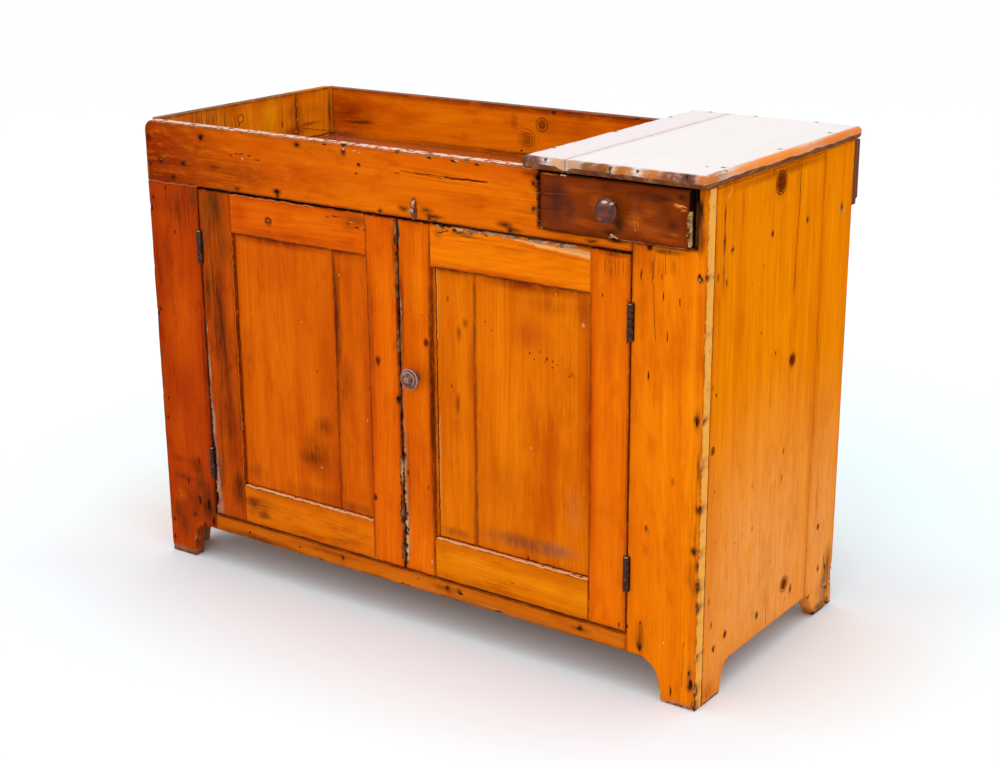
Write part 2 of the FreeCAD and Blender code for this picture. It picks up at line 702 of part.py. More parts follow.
def right_stile():
    body = new_body(("stile_edge_right", "face", "0"))
    foot = "right_stile - right_foot_floor"
    edge = [(foot, "0"), ("right_stile", "0"), ("right_stile", "front_board_high"),
            ("right_stile - drawer_strip", "front_board_high"),
            ("right_stile - drawer_strip", "sink_floor_top"), ("0", "sink_floor_top"),
            ("0", "rail_low"), (f"{foot} - right_foot_lean", "rail_low")]
    pad(body, "XZ", "0", "face_thick", edge)
    ease_edges(body, "Fillet", "right_foot_round",
               [(f"{foot} - right_foot_lean", "face_thick / 2", "rail_low")])
    hinge_cuts(body, "0", "+")
    return keep("right_stile", drilled(body, right_case_screws, face_nails))


def front_board():
    """Board across the front of the well; its right end is cut down for the drawer."""
    body = new_body(("left_out", "face", "front_board_low"))
    run = "stile_edge_right - front_board_joint - left_out"
    rise = "front_board_high - front_board_low"
    step = "sink_floor_top - front_board_low"
    notch = "bay_left - left_out"
    edge = [("0", "0"), (run, "0"), (run, step), (notch, step), (notch, rise), ("0", rise)]
    pad(body, "XZ", "0", "face_thick", edge)
    ease_edges(body, "Fillet", "front_board_corner", [("0", "face_thick / 2", rise)])
    pocket(body, "XZ", "0", "button_screw_length",
           centres=[("case_width / 2 + button_inset", "button_height - front_board_low")],
           radius="button_screw_radius")
    return keep("front_board", drilled(body, face_nails))


left_stile()
right_stile()
front_board()
keep("bottom_rail", drilled(
    plain_board(("stile_edge_left", "face", "rail_low"),
                ("stile_edge_right - (stile_edge_left)", "face_thick", "rail_high - rail_low")),
    face_nails))

# ---------------------------------------------------------------------------------------
# Floors, shelf, back and well
# ---------------------------------------------------------------------------------------

FLOOR_REAR_START = "face_back + floor_front_board"
keep("sink_floor_front_board", drilled(
    plain_board(("floor_left", "face_back", "sink_floor_low"),
                ("floor_length", "floor_front_board", "floor_thick")),
    face_nails, side_nails))
keep("sink_floor_rear_board", drilled(
    plain_board(("floor_left", FLOOR_REAR_START, "sink_floor_low"),
                ("floor_length", "side_run - floor_front_board", "floor_thick")),
    side_nails, back_nails))
keep("cupboard_bottom_front_board", drilled(
    plain_board(("floor_left", "face_back", "bottom_low"),
                ("floor_length", "floor_front_board", "floor_thick")),
    face_nails, side_nails))
keep("cupboard_bottom_rear_board", drilled(
    plain_board(("floor_left", FLOOR_REAR_START, "bottom_low"),
                ("floor_length", "side_run - back_thick - floor_front_board", "floor_thick")),
    side_nails, back_nails))

keep("sink_floor_bearer", drilled(
    plain_board(("left_in", "back_front - bearer_thick", "sink_floor_low - bearer_height"),
                ("right_in - left_in", "bearer_thick", "bearer_height")),
    back_nails))

SHELF_RUN = "right_in - left_in - 2 * shelf_ease"
SHELF_DEPTH = "back_front - shelf_front"
keep("shelf_front_board", plain_board(
    ("left_in + shelf_ease", "shelf_front", "shelf_low"),
    (SHELF_RUN, "shelf_front_board", "shelf_thick")))
keep("shelf_rear_board", plain_board(
    ("left_in + shelf_ease", "shelf_front + shelf_front_board", "shelf_low"),
    (SHELF_RUN, f"{SHELF_DEPTH} - shelf_front_board", "shelf_thick")))
keep("shelf_cleats", group([
    plain_board((across, "shelf_front", "shelf_low - cleat"), ("cleat", SHELF_DEPTH, "cleat"))
    for across in ("left_in", "right_in - cleat")]))

for index in range(BACK_BOARD_COUNT):
    board = plain_board(
        (f"left_in - back_lap + {index} * {BACK_PITCH}", "back_front", "back_low"),
        (f"{BACK_PITCH} - back_joint", "back_thick", "sink_floor_low - back_low"))
    keep(f"back_board_{index + 1}", drilled(board, back_nails))


def well_back():
    body = new_body(("left_out", "side_back", "well_back_low"))
    rise = "well_back_high - well_back_low"
    section = [("0", "0"), ("well_back_thick - well_back_chamfer", "0"),
               ("well_back_thick", "well_back_chamfer"), ("well_back_thick", rise), ("0", rise)]
    pad(body, "YZ", "0", "case_width", section)
    return keep("well_back_board", drilled(body, back_nails, lid_nails))


well_back()
keep("well_end_board", drilled(
    plain_board(("well_end_left", "face_back", "sink_floor_top"),
                ("well_end_thick", "side_run", "case_top - sink_floor_top")),
    face_nails, lid_nails))

# ---------------------------------------------------------------------------------------
# Work top over the drawer
# ---------------------------------------------------------------------------------------

LID_RUN = "lid_over_front + case_depth + lid_over_back"


def lid_board(label, left, width, corner, outer):
    """One board of the work top; `outer` is the side, low or high X, with the round corners."""
    body = new_body((left, "face - lid_over_front", "lid_low"))
    pad(body, "XY", "0", "lid_thick", rectangle("0", "0", width, LID_RUN))
    edge = "0" if outer == "low" else width
    ease_edges(body, "Fillet", corner,
               [(edge, "0", "lid_thick / 2"), (edge, LID_RUN, "lid_thick / 2")])
    doc.recompute()
    base = body.Tip
    seam_x = number(width if outer == "low" else "0")
    names = []
    for count, line in enumerate(base.Shape.Edges, start=1):
        flat = abs(line.BoundBox.ZLength) < 0.001
        on_seam = abs(line.BoundBox.XMin - seam_x) + abs(line.BoundBox.XMax - seam_x) < 0.01
        if flat and not on_seam:
            names.append(f"Edge{count}")
    nosing = body.newObject("PartDesign::Fillet", "Nosing")
    nosing.Base = (base, names)
    tie(nosing, "Radius", "lid_edge_round")
    return keep(label, drilled(body, lid_nails))


lid_board("lid_narrow_board", "lid_left", "lid_narrow_board", "lid_corner", "low")
lid_board("lid_wide_board", "lid_left + lid_narrow_board + lid_joint",
          "lid_width - lid_narrow_board - lid_joint", "lid_right_corner", "high")

# ---------------------------------------------------------------------------------------
# Drawer
# ---------------------------------------------------------------------------------------

BOTTOM_Z = "drawer_low + drawer_bottom_up"
INNER_WIDTH = "drawer_width - 2 * drawer_side_thick"
nail_rows = ("drawer_low + 0.24 * drawer_side_height", "drawer_low + 0.76 * drawer_side_height")
joint_ys = ("drawer_side_start + drawer_rabbet / 2",
            "drawer_side_start + drawer_side_run - drawer_side_thick / 2")
left_drawer_nails = nails(small_nail, TO_RIGHT,
                          [("drawer_left", y, z) for y in joint_ys for z in nail_rows])
right_drawer_nails = nails(small_nail, TO_LEFT,
                           [("drawer_left + drawer_width", y, z)
                            for y in joint_ys for z in nail_rows])
drawer_nails = keep("drawer_nails", group([left_drawer_nails, right_drawer_nails]))


def drawer_front():
    body = new_body(("drawer_left", "drawer_face", "drawer_front_low"))
    pad(body, "XZ", "0", "drawer_front_thick",
        rectangle("0", "0", "drawer_width", "drawer_front_height"))
    rabbet_y = "drawer_front_thick - drawer_rabbet"
    for left in ("0", "drawer_width - drawer_side_thick"):
        pocket(body, "XZ", rabbet_y, "drawer_rabbet",
               rectangle(left, "0", "drawer_side_thick", "drawer_front_height"))
    pocket(body, "XZ", "drawer_front_thick - drawer_groove", "drawer_groove",
           rectangle("drawer_side_thick", f"{BOTTOM_Z} - drawer_front_low",
                     INNER_WIDTH, "drawer_bottom_thick"))
    pocket(body, "XZ", "0", "drawer_front_thick",
           centres=[("drawer_knob_right", "drawer_knob_up")],
           radius="knob_stem_radius + knob_stem_play")
    return keep("drawer_front", drilled(body, drawer_nails))


def drawer_side(label, left):
    body = new_body(("drawer_left" if left else "drawer_left + drawer_width - drawer_side_thick",
                     "drawer_side_start", "drawer_low"))
    pad(body, "YZ", "0", "drawer_side_thick",
        rectangle("0", "0", "drawer_side_run", "drawer_side_height"))
    inner = "drawer_side_thick - drawer_groove" if left else "0"
    pocket(body, "YZ", inner, "drawer_groove",
           rectangle("0", "drawer_bottom_up", "drawer_side_run", "drawer_bottom_thick"))
    return keep(label, drilled(body, drawer_nails))


drawer_front()
drawer_side("drawer_left_side", True)
drawer_side("drawer_right_side", False)
keep("drawer_back", drilled(
    plain_board(("drawer_left + drawer_side_thick",
                 "drawer_side_start + drawer_side_run - drawer_side_thick",
                 f"{BOTTOM_Z} + drawer_bottom_thick"),
                (INNER_WIDTH, "drawer_side_thick",
                 "drawer_side_height - drawer_bottom_up - drawer_bottom_thick")),
    drawer_nails))
keep("drawer_bottom", plain_board(
    ("drawer_left + drawer_side_thick - drawer_groove",
     "drawer_face + drawer_front_thick - drawer_groove", BOTTOM_Z),
    (f"{INNER_WIDTH} + 2 * drawer_groove",
     "drawer_length - drawer_front_thick + drawer_groove", "drawer_bottom_thick")))

RIGHT_GUIDE = "drawer_bay - drawer_left_gap - drawer_width - guide_gap"
keep("drawer_guides", group([
    plain_board(("bay_left", "face_back", "sink_floor_top"),
                ("drawer_left_gap - guide_gap", "side_run", "guide_height")),
    plain_board((f"right_in - ({RIGHT_GUIDE})", "face_back", "sink_floor_top"),
                (RIGHT_GUIDE, "side_run", "guide_height"))]))

# ---------------------------------------------------------------------------------------
# Doors
# ---------------------------------------------------------------------------------------

PANEL_LAP = "groove_deep - panel_shrink"
PANEL_LOW = f"door_low_rail - ({PANEL_LAP})"
PANEL_RISE = f"door_height - door_top_rail - door_low_rail + 2 * ({PANEL_LAP})"
OPENING_RISE = "door_height - door_top_rail - door_low_rail"


def door_stile(left, width, groove_side):
    """A door stile with the panel groove and two mortises in one of its edges."""
    body = new_body((left, "face", "door_low"))
    pad(body, "XZ", "0", "door_thick", rectangle("0", "0", width, "door_height"))
    at_high = groove_side == "high"
    groove = f"{width} - groove_deep" if at_high else "0"
    pocket(body, "YZ", groove, "groove_deep",
           rectangle("groove_front", "door_low_rail - groove_deep",
                     "groove_wide", f"{OPENING_RISE} + 2 * groove_deep"))
    mortise = f"{width} - tenon_length" if at_high else "0"
    for middle in ("door_low_rail / 2", "door_height - door_top_rail / 2"):
        pocket(body, "YZ", mortise, "tenon_length",
               rectangle("groove_front", f"{middle} - tenon_rise / 2",
                         "groove_wide", "tenon_rise"))
    return body


def door_rail(left, low, run, rise, groove_at_low_edge):
    """A rail between the stiles, with its tenons and the panel groove in one edge."""
    body = new_body((left, "face", low))
    pad(body, "XZ", "0", "door_thick", rectangle("0", "0", run, rise))
    pad(body, "XZ", "groove_front", "groove_wide",
        rectangle("-tenon_length", f"{rise} / 2 - tenon_rise / 2",
                  f"{run} + 2 * tenon_length", "tenon_rise"))
    groove = "0" if groove_at_low_edge else f"{rise} - groove_deep"
    pocket(body, "XY", groove, "groove_deep", rectangle("0", "groove_front", run, "groove_wide"))
    return body


def panel_board(left, visible, stile_side):
    """One board of a door panel, set in a stile on one side and meeting its neighbour.

    `left` is where its visible part begins.  The back carries a thicker field that stays
    clear of the frame.
    """
    in_left = stile_side == "low"
    start = f"{left} - ({PANEL_LAP})" if in_left else f"{left} + panel_joint / 2"
    width = f"{visible} + {PANEL_LAP} - panel_joint / 2"
    body = new_body((start, "face + groove_front + panel_ease", f"door_low + {PANEL_LOW}"))
    pad(body, "XZ", "0", "panel_thick", rectangle("0", "0", width, PANEL_RISE))
    rim = f"{PANEL_LAP} + panel_field_inset"
    field_left = rim if in_left else "0"
    pad(body, "XZ", "panel_thick", "panel_field",
        rectangle(field_left, rim, f"{width} - ({rim})", f"{PANEL_RISE} - 2 * ({rim})"))
    return body


def door(side, edge, width, left_stile_width, right_stile_width, narrow):
    """Frame and panel of one door; its hinged side is the side of the case it is on."""
    hinged_left = side == "left"
    opening = f"{width} - {left_stile_width} - {right_stile_width}"
    first = f"{edge} + {left_stile_width}"
    left_stile_board = door_stile(edge, left_stile_width, "high")
    right_stile_board = door_stile(f"{first} + {opening}", right_stile_width, "low")
    if hinged_left:
        hinge_board, lock_board = left_stile_board, right_stile_board
        hinge_cuts(hinge_board, "0", "+", "(door_low)")
        own_screws = left_door_screws
    else:
        hinge_board, lock_board = right_stile_board, left_stile_board
        hinge_cuts(hinge_board, right_stile_width, "-", "(door_low)")
        own_screws = right_door_screws
        pocket(lock_board, "XZ", "0", "door_thick",
               centres=[(f"{left_stile_width} / 2", "door_knob_height - door_low")],
               radius="knob_stem_radius + knob_stem_play")
    keep(f"{side}_door_hinge_stile", drilled(hinge_board, own_screws))
    keep(f"{side}_door_lock_stile", lock_board)
    keep(f"{side}_door_bottom_rail",
         door_rail(first, "door_low", opening, "door_low_rail", False))
    keep(f"{side}_door_top_rail",
         door_rail(first, "door_low + door_height - door_top_rail", opening,
                   "door_top_rail", True))
    wide = f"{opening} - {narrow}"
    if hinged_left:
        keep("left_door_wide_panel", panel_board(first, wide, "low"))
        keep("left_door_narrow_panel", panel_board(f"{first} + {wide}", narrow, "high"))
    else:
        keep("right_door_narrow_panel", panel_board(first, narrow, "low"))
        keep("right_door_wide_panel", panel_board(f"{first} + {narrow}", wide, "high"))


door("left", "left_door_edge", "left_door_width",
     "left_hinge_stile", "left_lock_stile", "left_narrow_panel")
door("right", "right_door_edge", "right_door_width",
     "right_lock_stile", "right_hinge_stile", "right_narrow_panel")

# ---------------------------------------------------------------------------------------
# Knobs and turn button
# ---------------------------------------------------------------------------------------

def knob(label, low, radius, reach, stem, profile, rounds):
    """A turned knob that points to -Y from the face it is fixed in.

    The profile runs from the face to the front as shares of the largest radius and of the
    projection; `rounds` gives the rounding of some of its rims in the same manner.
    """
    body = new_body(low)
    corners = [("0", stem), ("knob_stem_radius", stem), ("knob_stem_radius", "0")]
    corners += [(f"{wide} * {radius}", f"-{out} * {reach}") for wide, out in profile]
    corners.append(("0", f"-{reach}"))
    turn(body, "XY", corners, "V_Axis")
    for wide, out, share in rounds:
        doc.recompute()
        base = body.Tip
        rim_radius = number(f"{wide} * {radius}")
        rim_y = number(f"-{out} * {reach}")
        names = [
            f"Edge{count}"
            for count, edge in enumerate(base.Shape.Edges, start=1)
            if isinstance(edge.Curve, Part.Circle)
            and abs(edge.Curve.Radius - rim_radius) < 0.001
            and abs(edge.Curve.Center.y - rim_y) < 0.001
        ]
        if not names:
            raise ValueError(f"{label}: no rim at {wide}, {out}")
        feature = body.newObject("PartDesign::Fillet", "Fillet")
        feature.Base = (base, names)
        tie(feature, "Radius", f"{share} * {reach}")
    return keep(label, body)


knob("drawer_knob", ("drawer_knob_x", "drawer_face", "drawer_knob_z"),
     "drawer_knob_radius", "drawer_knob_reach", "drawer_front_thick",
     [(0.62, 0), (0.62, 0.07), (0.42, 0.22), (0.5, 0.36), (1, 0.5), (1, 0.74), (0.52, 1)],
     [(1, 0.5, 0.12), (1, 0.74, 0.2), (0.52, 1, 0.15)])
knob("right_door_knob", ("door_knob_x", "face", "door_knob_height"),
     "door_knob_radius", "door_knob_reach", "door_thick",
     [(0.66, 0), (0.66, 0.08), (0.4, 0.2), (0.46, 0.42), (1, 0.58), (1, 0.78), (0.72, 0.9),
      (0.5, 0.88), (0.42, 1)],
     [(1, 0.58, 0.06), (1, 0.78, 0.08)])


def turn_button():
    """Wooden button; local Y is 0 at its back, and it turns about its own origin."""
    body = new_body(("case_middle + button_inset", "face - button_gap - button_thick", "button_height"))
    half = "button_width / 2"
    taper = "0.38 * button_width"
    edge = [(f"-({taper})", "-button_lower"), (taper, "-button_lower"), (half, "0"),
            (taper, "button_upper"), (f"-({taper})", "button_upper"), (f"-({half})", "0")]
    pad(body, "XZ", "0", "button_thick", edge)
    middle = "button_thick / 2"
    ease_edges(body, "Fillet", "0.19 * button_width",
               [(sign + f"({taper})", middle, level) for sign in ("", "-")
                for level in ("-button_lower", "button_upper")])
    pocket(body, "XZ", "0", "button_thick", centres=[("0", "0")],
           radius="button_screw_radius + button_play")
    return keep("turn_button", body)


def button_screw():
    """Round-headed screw through the button into the front board."""
    body = new_body(("case_middle + button_inset", "face", "button_height"))
    seat = "-button_gap - button_thick - button_play"
    dome = "button_screw_dome"
    profile = [("0", "button_screw_length"), ("button_screw_radius", "button_screw_length"),
               ("button_screw_radius", seat), ("button_screw_head", seat),
               ("button_screw_head", f"{seat} - 0.3 * {dome}"),
               ("0.55 * button_screw_head", f"{seat} - {dome}"), ("0", f"{seat} - {dome}")]
    turn(body, "XY", profile, "V_Axis")
    slot = rectangle("-screw_slot / 2", "-button_screw_head",
                     "screw_slot", "2 * button_screw_head")
    pocket(body, "XZ", f"{seat} - {dome}", f"0.5 * {dome}", slot)
    return keep("button_screw", body)


turn_button()
button_screw()

# ---------------------------------------------------------------------------------------
# Checking and writing
# ---------------------------------------------------------------------------------------

doc.recompute()
for thing in doc.Objects:
    if {"Invalid", "Error"} & set(thing.State):
        raise ValueError(f"{thing.Label} is not sound: {thing.State}")
os.makedirs("parts", exist_ok=True)
for label, thing in parts.items():
    shape = thing.Shape
    if shape.isNull() or not shape.isValid():
        raise ValueError(f"{label} has no valid shape")
    shape.exportStep(f"parts/{label}.step")
print(len(parts), "parts written")
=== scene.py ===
"""Looks of the dry sink cabinet: worn pine boards, old ironwork, floor, light and camera.

Lengths named in mm are millimetres; everything built is in metres, in the part's frame.
"""
import json
import math

import bmesh
import bpy
from mathutils import Matrix, Vector, noise


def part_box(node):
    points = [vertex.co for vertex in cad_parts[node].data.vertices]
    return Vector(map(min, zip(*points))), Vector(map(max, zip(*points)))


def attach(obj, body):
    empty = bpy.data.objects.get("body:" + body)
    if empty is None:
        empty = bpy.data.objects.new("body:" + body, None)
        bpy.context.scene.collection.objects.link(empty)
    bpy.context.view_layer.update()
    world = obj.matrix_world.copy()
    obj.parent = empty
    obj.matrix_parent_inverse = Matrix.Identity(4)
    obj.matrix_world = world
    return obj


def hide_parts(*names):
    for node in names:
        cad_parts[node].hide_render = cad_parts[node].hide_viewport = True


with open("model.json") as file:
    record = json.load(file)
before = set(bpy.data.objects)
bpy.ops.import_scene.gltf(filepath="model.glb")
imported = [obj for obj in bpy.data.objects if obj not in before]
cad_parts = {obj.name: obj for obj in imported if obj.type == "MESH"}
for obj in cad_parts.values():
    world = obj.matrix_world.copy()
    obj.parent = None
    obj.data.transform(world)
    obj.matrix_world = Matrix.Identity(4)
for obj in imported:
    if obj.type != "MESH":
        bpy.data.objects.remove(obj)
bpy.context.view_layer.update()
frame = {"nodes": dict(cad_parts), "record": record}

MM = 0.001
CORNER = (-613.5, -249.5, 0.0)     # mm: front left foot, from which marks are measured
ACROSS, DEEP, UP = 0, 1, 2
WELD = 1e-6                        # m: corners nearer than this are one corner
ONE_LEVEL = 1e-5                   # m: corners within this lie on one face
CORNER_PARTS = 4                   # steps round a rounded corner of an outline
NOTCH_DEPTH = 0.01                 # m: the deepest step that counts as a notch
SOFT_TURN = 0.45                   # radians: a turn below this isn't rounded
SEAM_REACH, SEAM_LAP = 0.0015, 0.0006   # m: how the middle seam of the back is shut
BODY_OF = {node: body for body, nodes in frame["record"]["behaviour"]["bodies"].items()
           for node in nodes}
SLOT_OF = {part["node"]: part["material_slot"] for part in frame["record"]["subparts"]}
scene = bpy.context.scene


def plane(flat):
    """The two axes that a board's face lies along, when its thickness is along flat."""
    return [axis for axis in (ACROSS, DEEP, UP) if axis != flat]


def longest(box):
    sizes = box[1] - box[0]
    return max(range(3), key=lambda axis: sizes[axis])


def thinnest(box):
    sizes = box[1] - box[0]
    return min(range(3), key=lambda axis: sizes[axis])


def colour(red, green, blue):
    """A paint chart colour, 0 to 255, as linear light."""
    def linear(part):
        part /= 255
        return part / 12.92 if part <= 0.04045 else ((part + 0.055) / 1.055) ** 2.4
    return (linear(red), linear(green), linear(blue), 1.0)


ORANGE = colour(226, 108, 3)
AMBER = colour(238, 124, 3)
HONEY = colour(244, 138, 4)
DRY = colour(176, 122, 74)
# Dark umber, for dirt and stains, and also for painted shade along the edges of panels and
# rails and under the drawer.
UMBER = colour(84, 34, 8)
# Dark brown for dirt, also used for painted shade in gaps, in recesses, where frames stand over
# panels and beside the drawer.
DIRT_AND_SHADE = colour(58, 20, 6)
# Near black for dirt in cracks and holes, also used for painted shadow in the gaps round the
# doors and drawer and in a knob's groove.
BLACK_GRIME_AND_SHADOW = colour(26, 11, 6)
CREAM = colour(238, 196, 138)
BROKEN = colour(156, 104, 62)
SPLINTER = colour(186, 146, 118)
DEEPER = (0.7, 0.47, 0.3, 1.0)
PALER = (1.13, 1.24, 1.6, 1.0)


# ---- Finishes: sums written on sockets ----------------------------------------------

class Reading:
    """A socket that takes part in sums like a number."""

    def __init__(self, maker, socket):
        self.maker, self.socket = maker, socket

    def math(self, operation, *values):
        return self.maker.node("ShaderNodeMath", {"operation": operation}, values)

    def __add__(self, other): return self.math("ADD", self, other)
    def __radd__(self, other): return self.math("ADD", other, self)
    def __sub__(self, other): return self.math("SUBTRACT", self, other)
    def __rsub__(self, other): return self.math("SUBTRACT", other, self)
    def __mul__(self, other): return self.math("MULTIPLY", self, other)
    def __rmul__(self, other): return self.math("MULTIPLY", other, self)
    def __truediv__(self, other): return self.math("DIVIDE", self, other)

    def over(self, start, end, low=0.0, high=1.0):
        """Goes smoothly from low to high as the reading goes from start to end."""
        return self.maker.node("ShaderNodeMapRange", {"interpolation_type": "SMOOTHSTEP"},
                               (self, start, end, low, high))


class Maker:
    """Adds nodes to one tree."""

    def __init__(self, tree):
        self.tree = tree

    def node(self, kind, settings=None, inputs=(), output=0):
        """Adds a node: its settings first, then the values or links of its sockets."""
        made = self.tree.nodes.new(kind)
        for name, value in (settings or {}).items():
            setattr(made, name, value)
        pairs = inputs.items() if isinstance(inputs, dict) else enumerate(inputs)
        for key, value in pairs:
            if isinstance(value, Reading):
                self.tree.links.new(value.socket, made.inputs[key])
            else:
                made.inputs[key].default_value = value
        return Reading(self, made.outputs[output])


class Finish(Maker):
    """A material whose nodes are written as expressions."""

    def __init__(self, name, constants=None):
        self.material = bpy.data.materials.new(name)
        self.material.use_nodes = True
        super().__init__(self.material.node_tree)
        self.shader = self.tree.nodes["Principled BSDF"]
        for socket, value in (constants or {}).items():
            self.shader.inputs[socket].default_value = value
        self.place = self.node("ShaderNodeTexCoord", output="Object")

    def vector(self, operation, *inputs, output=0):
        return self.node("ShaderNodeVectorMath", {"operation": operation}, inputs, output)

    def blend(self, share, first, second, kind="MIX"):
        """A colour that goes from first to second by share."""
        return self.node("ShaderNodeMix", {"data_type": "RGBA", "blend_type": kind},
                         {0: share, 6: first, 7: second}, 2)

    def clouds(self, place, scale=1.0, detail=3.0, rough=0.55, output=0):
        return self.node("ShaderNodeTexNoise", {}, {"Vector": place, "Scale": scale,
                         "Detail": detail, "Roughness": rough}, output)

    def stretched(self, scales, shift):
        """The object's coordinates, scaled on each axis and shifted."""
        return self.vector("MULTIPLY_ADD", self.place, scales, shift)

    def attribute(self, name):
        return self.node("ShaderNodeAttribute", {"attribute_name": name}, output="Fac")

    def bump(self, height, strength, distance):
        return self.node("ShaderNodeBump", {}, {"Strength": strength, "Distance": distance,
                                                "Height": height})

    def feed(self, links):
        """Joins readings to the shader's sockets and gives the material."""
        for socket, value in links.items():
            self.tree.links.new(value.socket, self.shader.inputs[socket])
        return self.material


def mark_frame(flat, across_mm, along_mm):
    """A measured place on a face, in metres in the part's frame."""
    spot = [0.0, 0.0, 0.0]
    for axis, value in zip(plane(flat), (across_mm, along_mm)):
        spot[axis] = (value + CORNER[axis]) * MM
    return spot


def away_from(finish, place, flat, across, along, wide, tall):
    """How far a place lies from a mark's middle, as a share of the mark's half sizes in mm."""
    spot, scales = mark_frame(flat, across, along), [0.0, 0.0, 0.0]
    for axis, size in zip(plane(flat), (wide, tall)):
        scales[axis] = 1 / (size * MM)
    shift = [-where * scale for where, scale in zip(spot, scales)]
    return finish.vector("LENGTH", finish.vector("MULTIPLY_ADD", place, scales, shift),
                         output=1)


def oval(finish, place, flat, across, along, wide, tall, core=0.55):
    """1 within an oval mark and 0 outside it. All sizes in mm."""
    return away_from(finish, place, flat, across, along, wide, tall).over(1.0, core)


def circle(finish, place, flat, across, along, radius, wide):
    """1 along a ring mark, and 0 inside and outside it. All sizes in mm."""
    away = away_from(finish, place, flat, across, along, radius, radius)
    part = wide / radius
    return away.over(1 - part, 1.0) * away.over(1 + part, 1.0)


def line(finish, place, flat, start, end, wide):
    """1 along a straight crack, from start to end, both measured in mm."""
    first, last = Vector(mark_frame(flat, *start)), Vector(mark_frame(flat, *end))
    run = last - first
    flatten = [0.0 if axis == flat else 1.0 for axis in (ACROSS, DEEP, UP)]
    offset = finish.vector("MULTIPLY_ADD", place, flatten, list(-first))
    share = finish.vector("DOT_PRODUCT", offset, list(run / run.length_squared), output=1)
    share = finish.node("ShaderNodeClamp", {}, (share, 0.0, 1.0))
    nearest = finish.vector("MULTIPLY", share, list(run))
    away = finish.vector("LENGTH", finish.vector("SUBTRACT", offset, nearest), output=1)
    return away.over(wide * MM, wide * MM * 0.3)


def strongest(values):
    """The largest of several readings."""
    top = None
    for value in values:
        top = value if top is None else top.math("MAXIMUM", top, value)
    return top


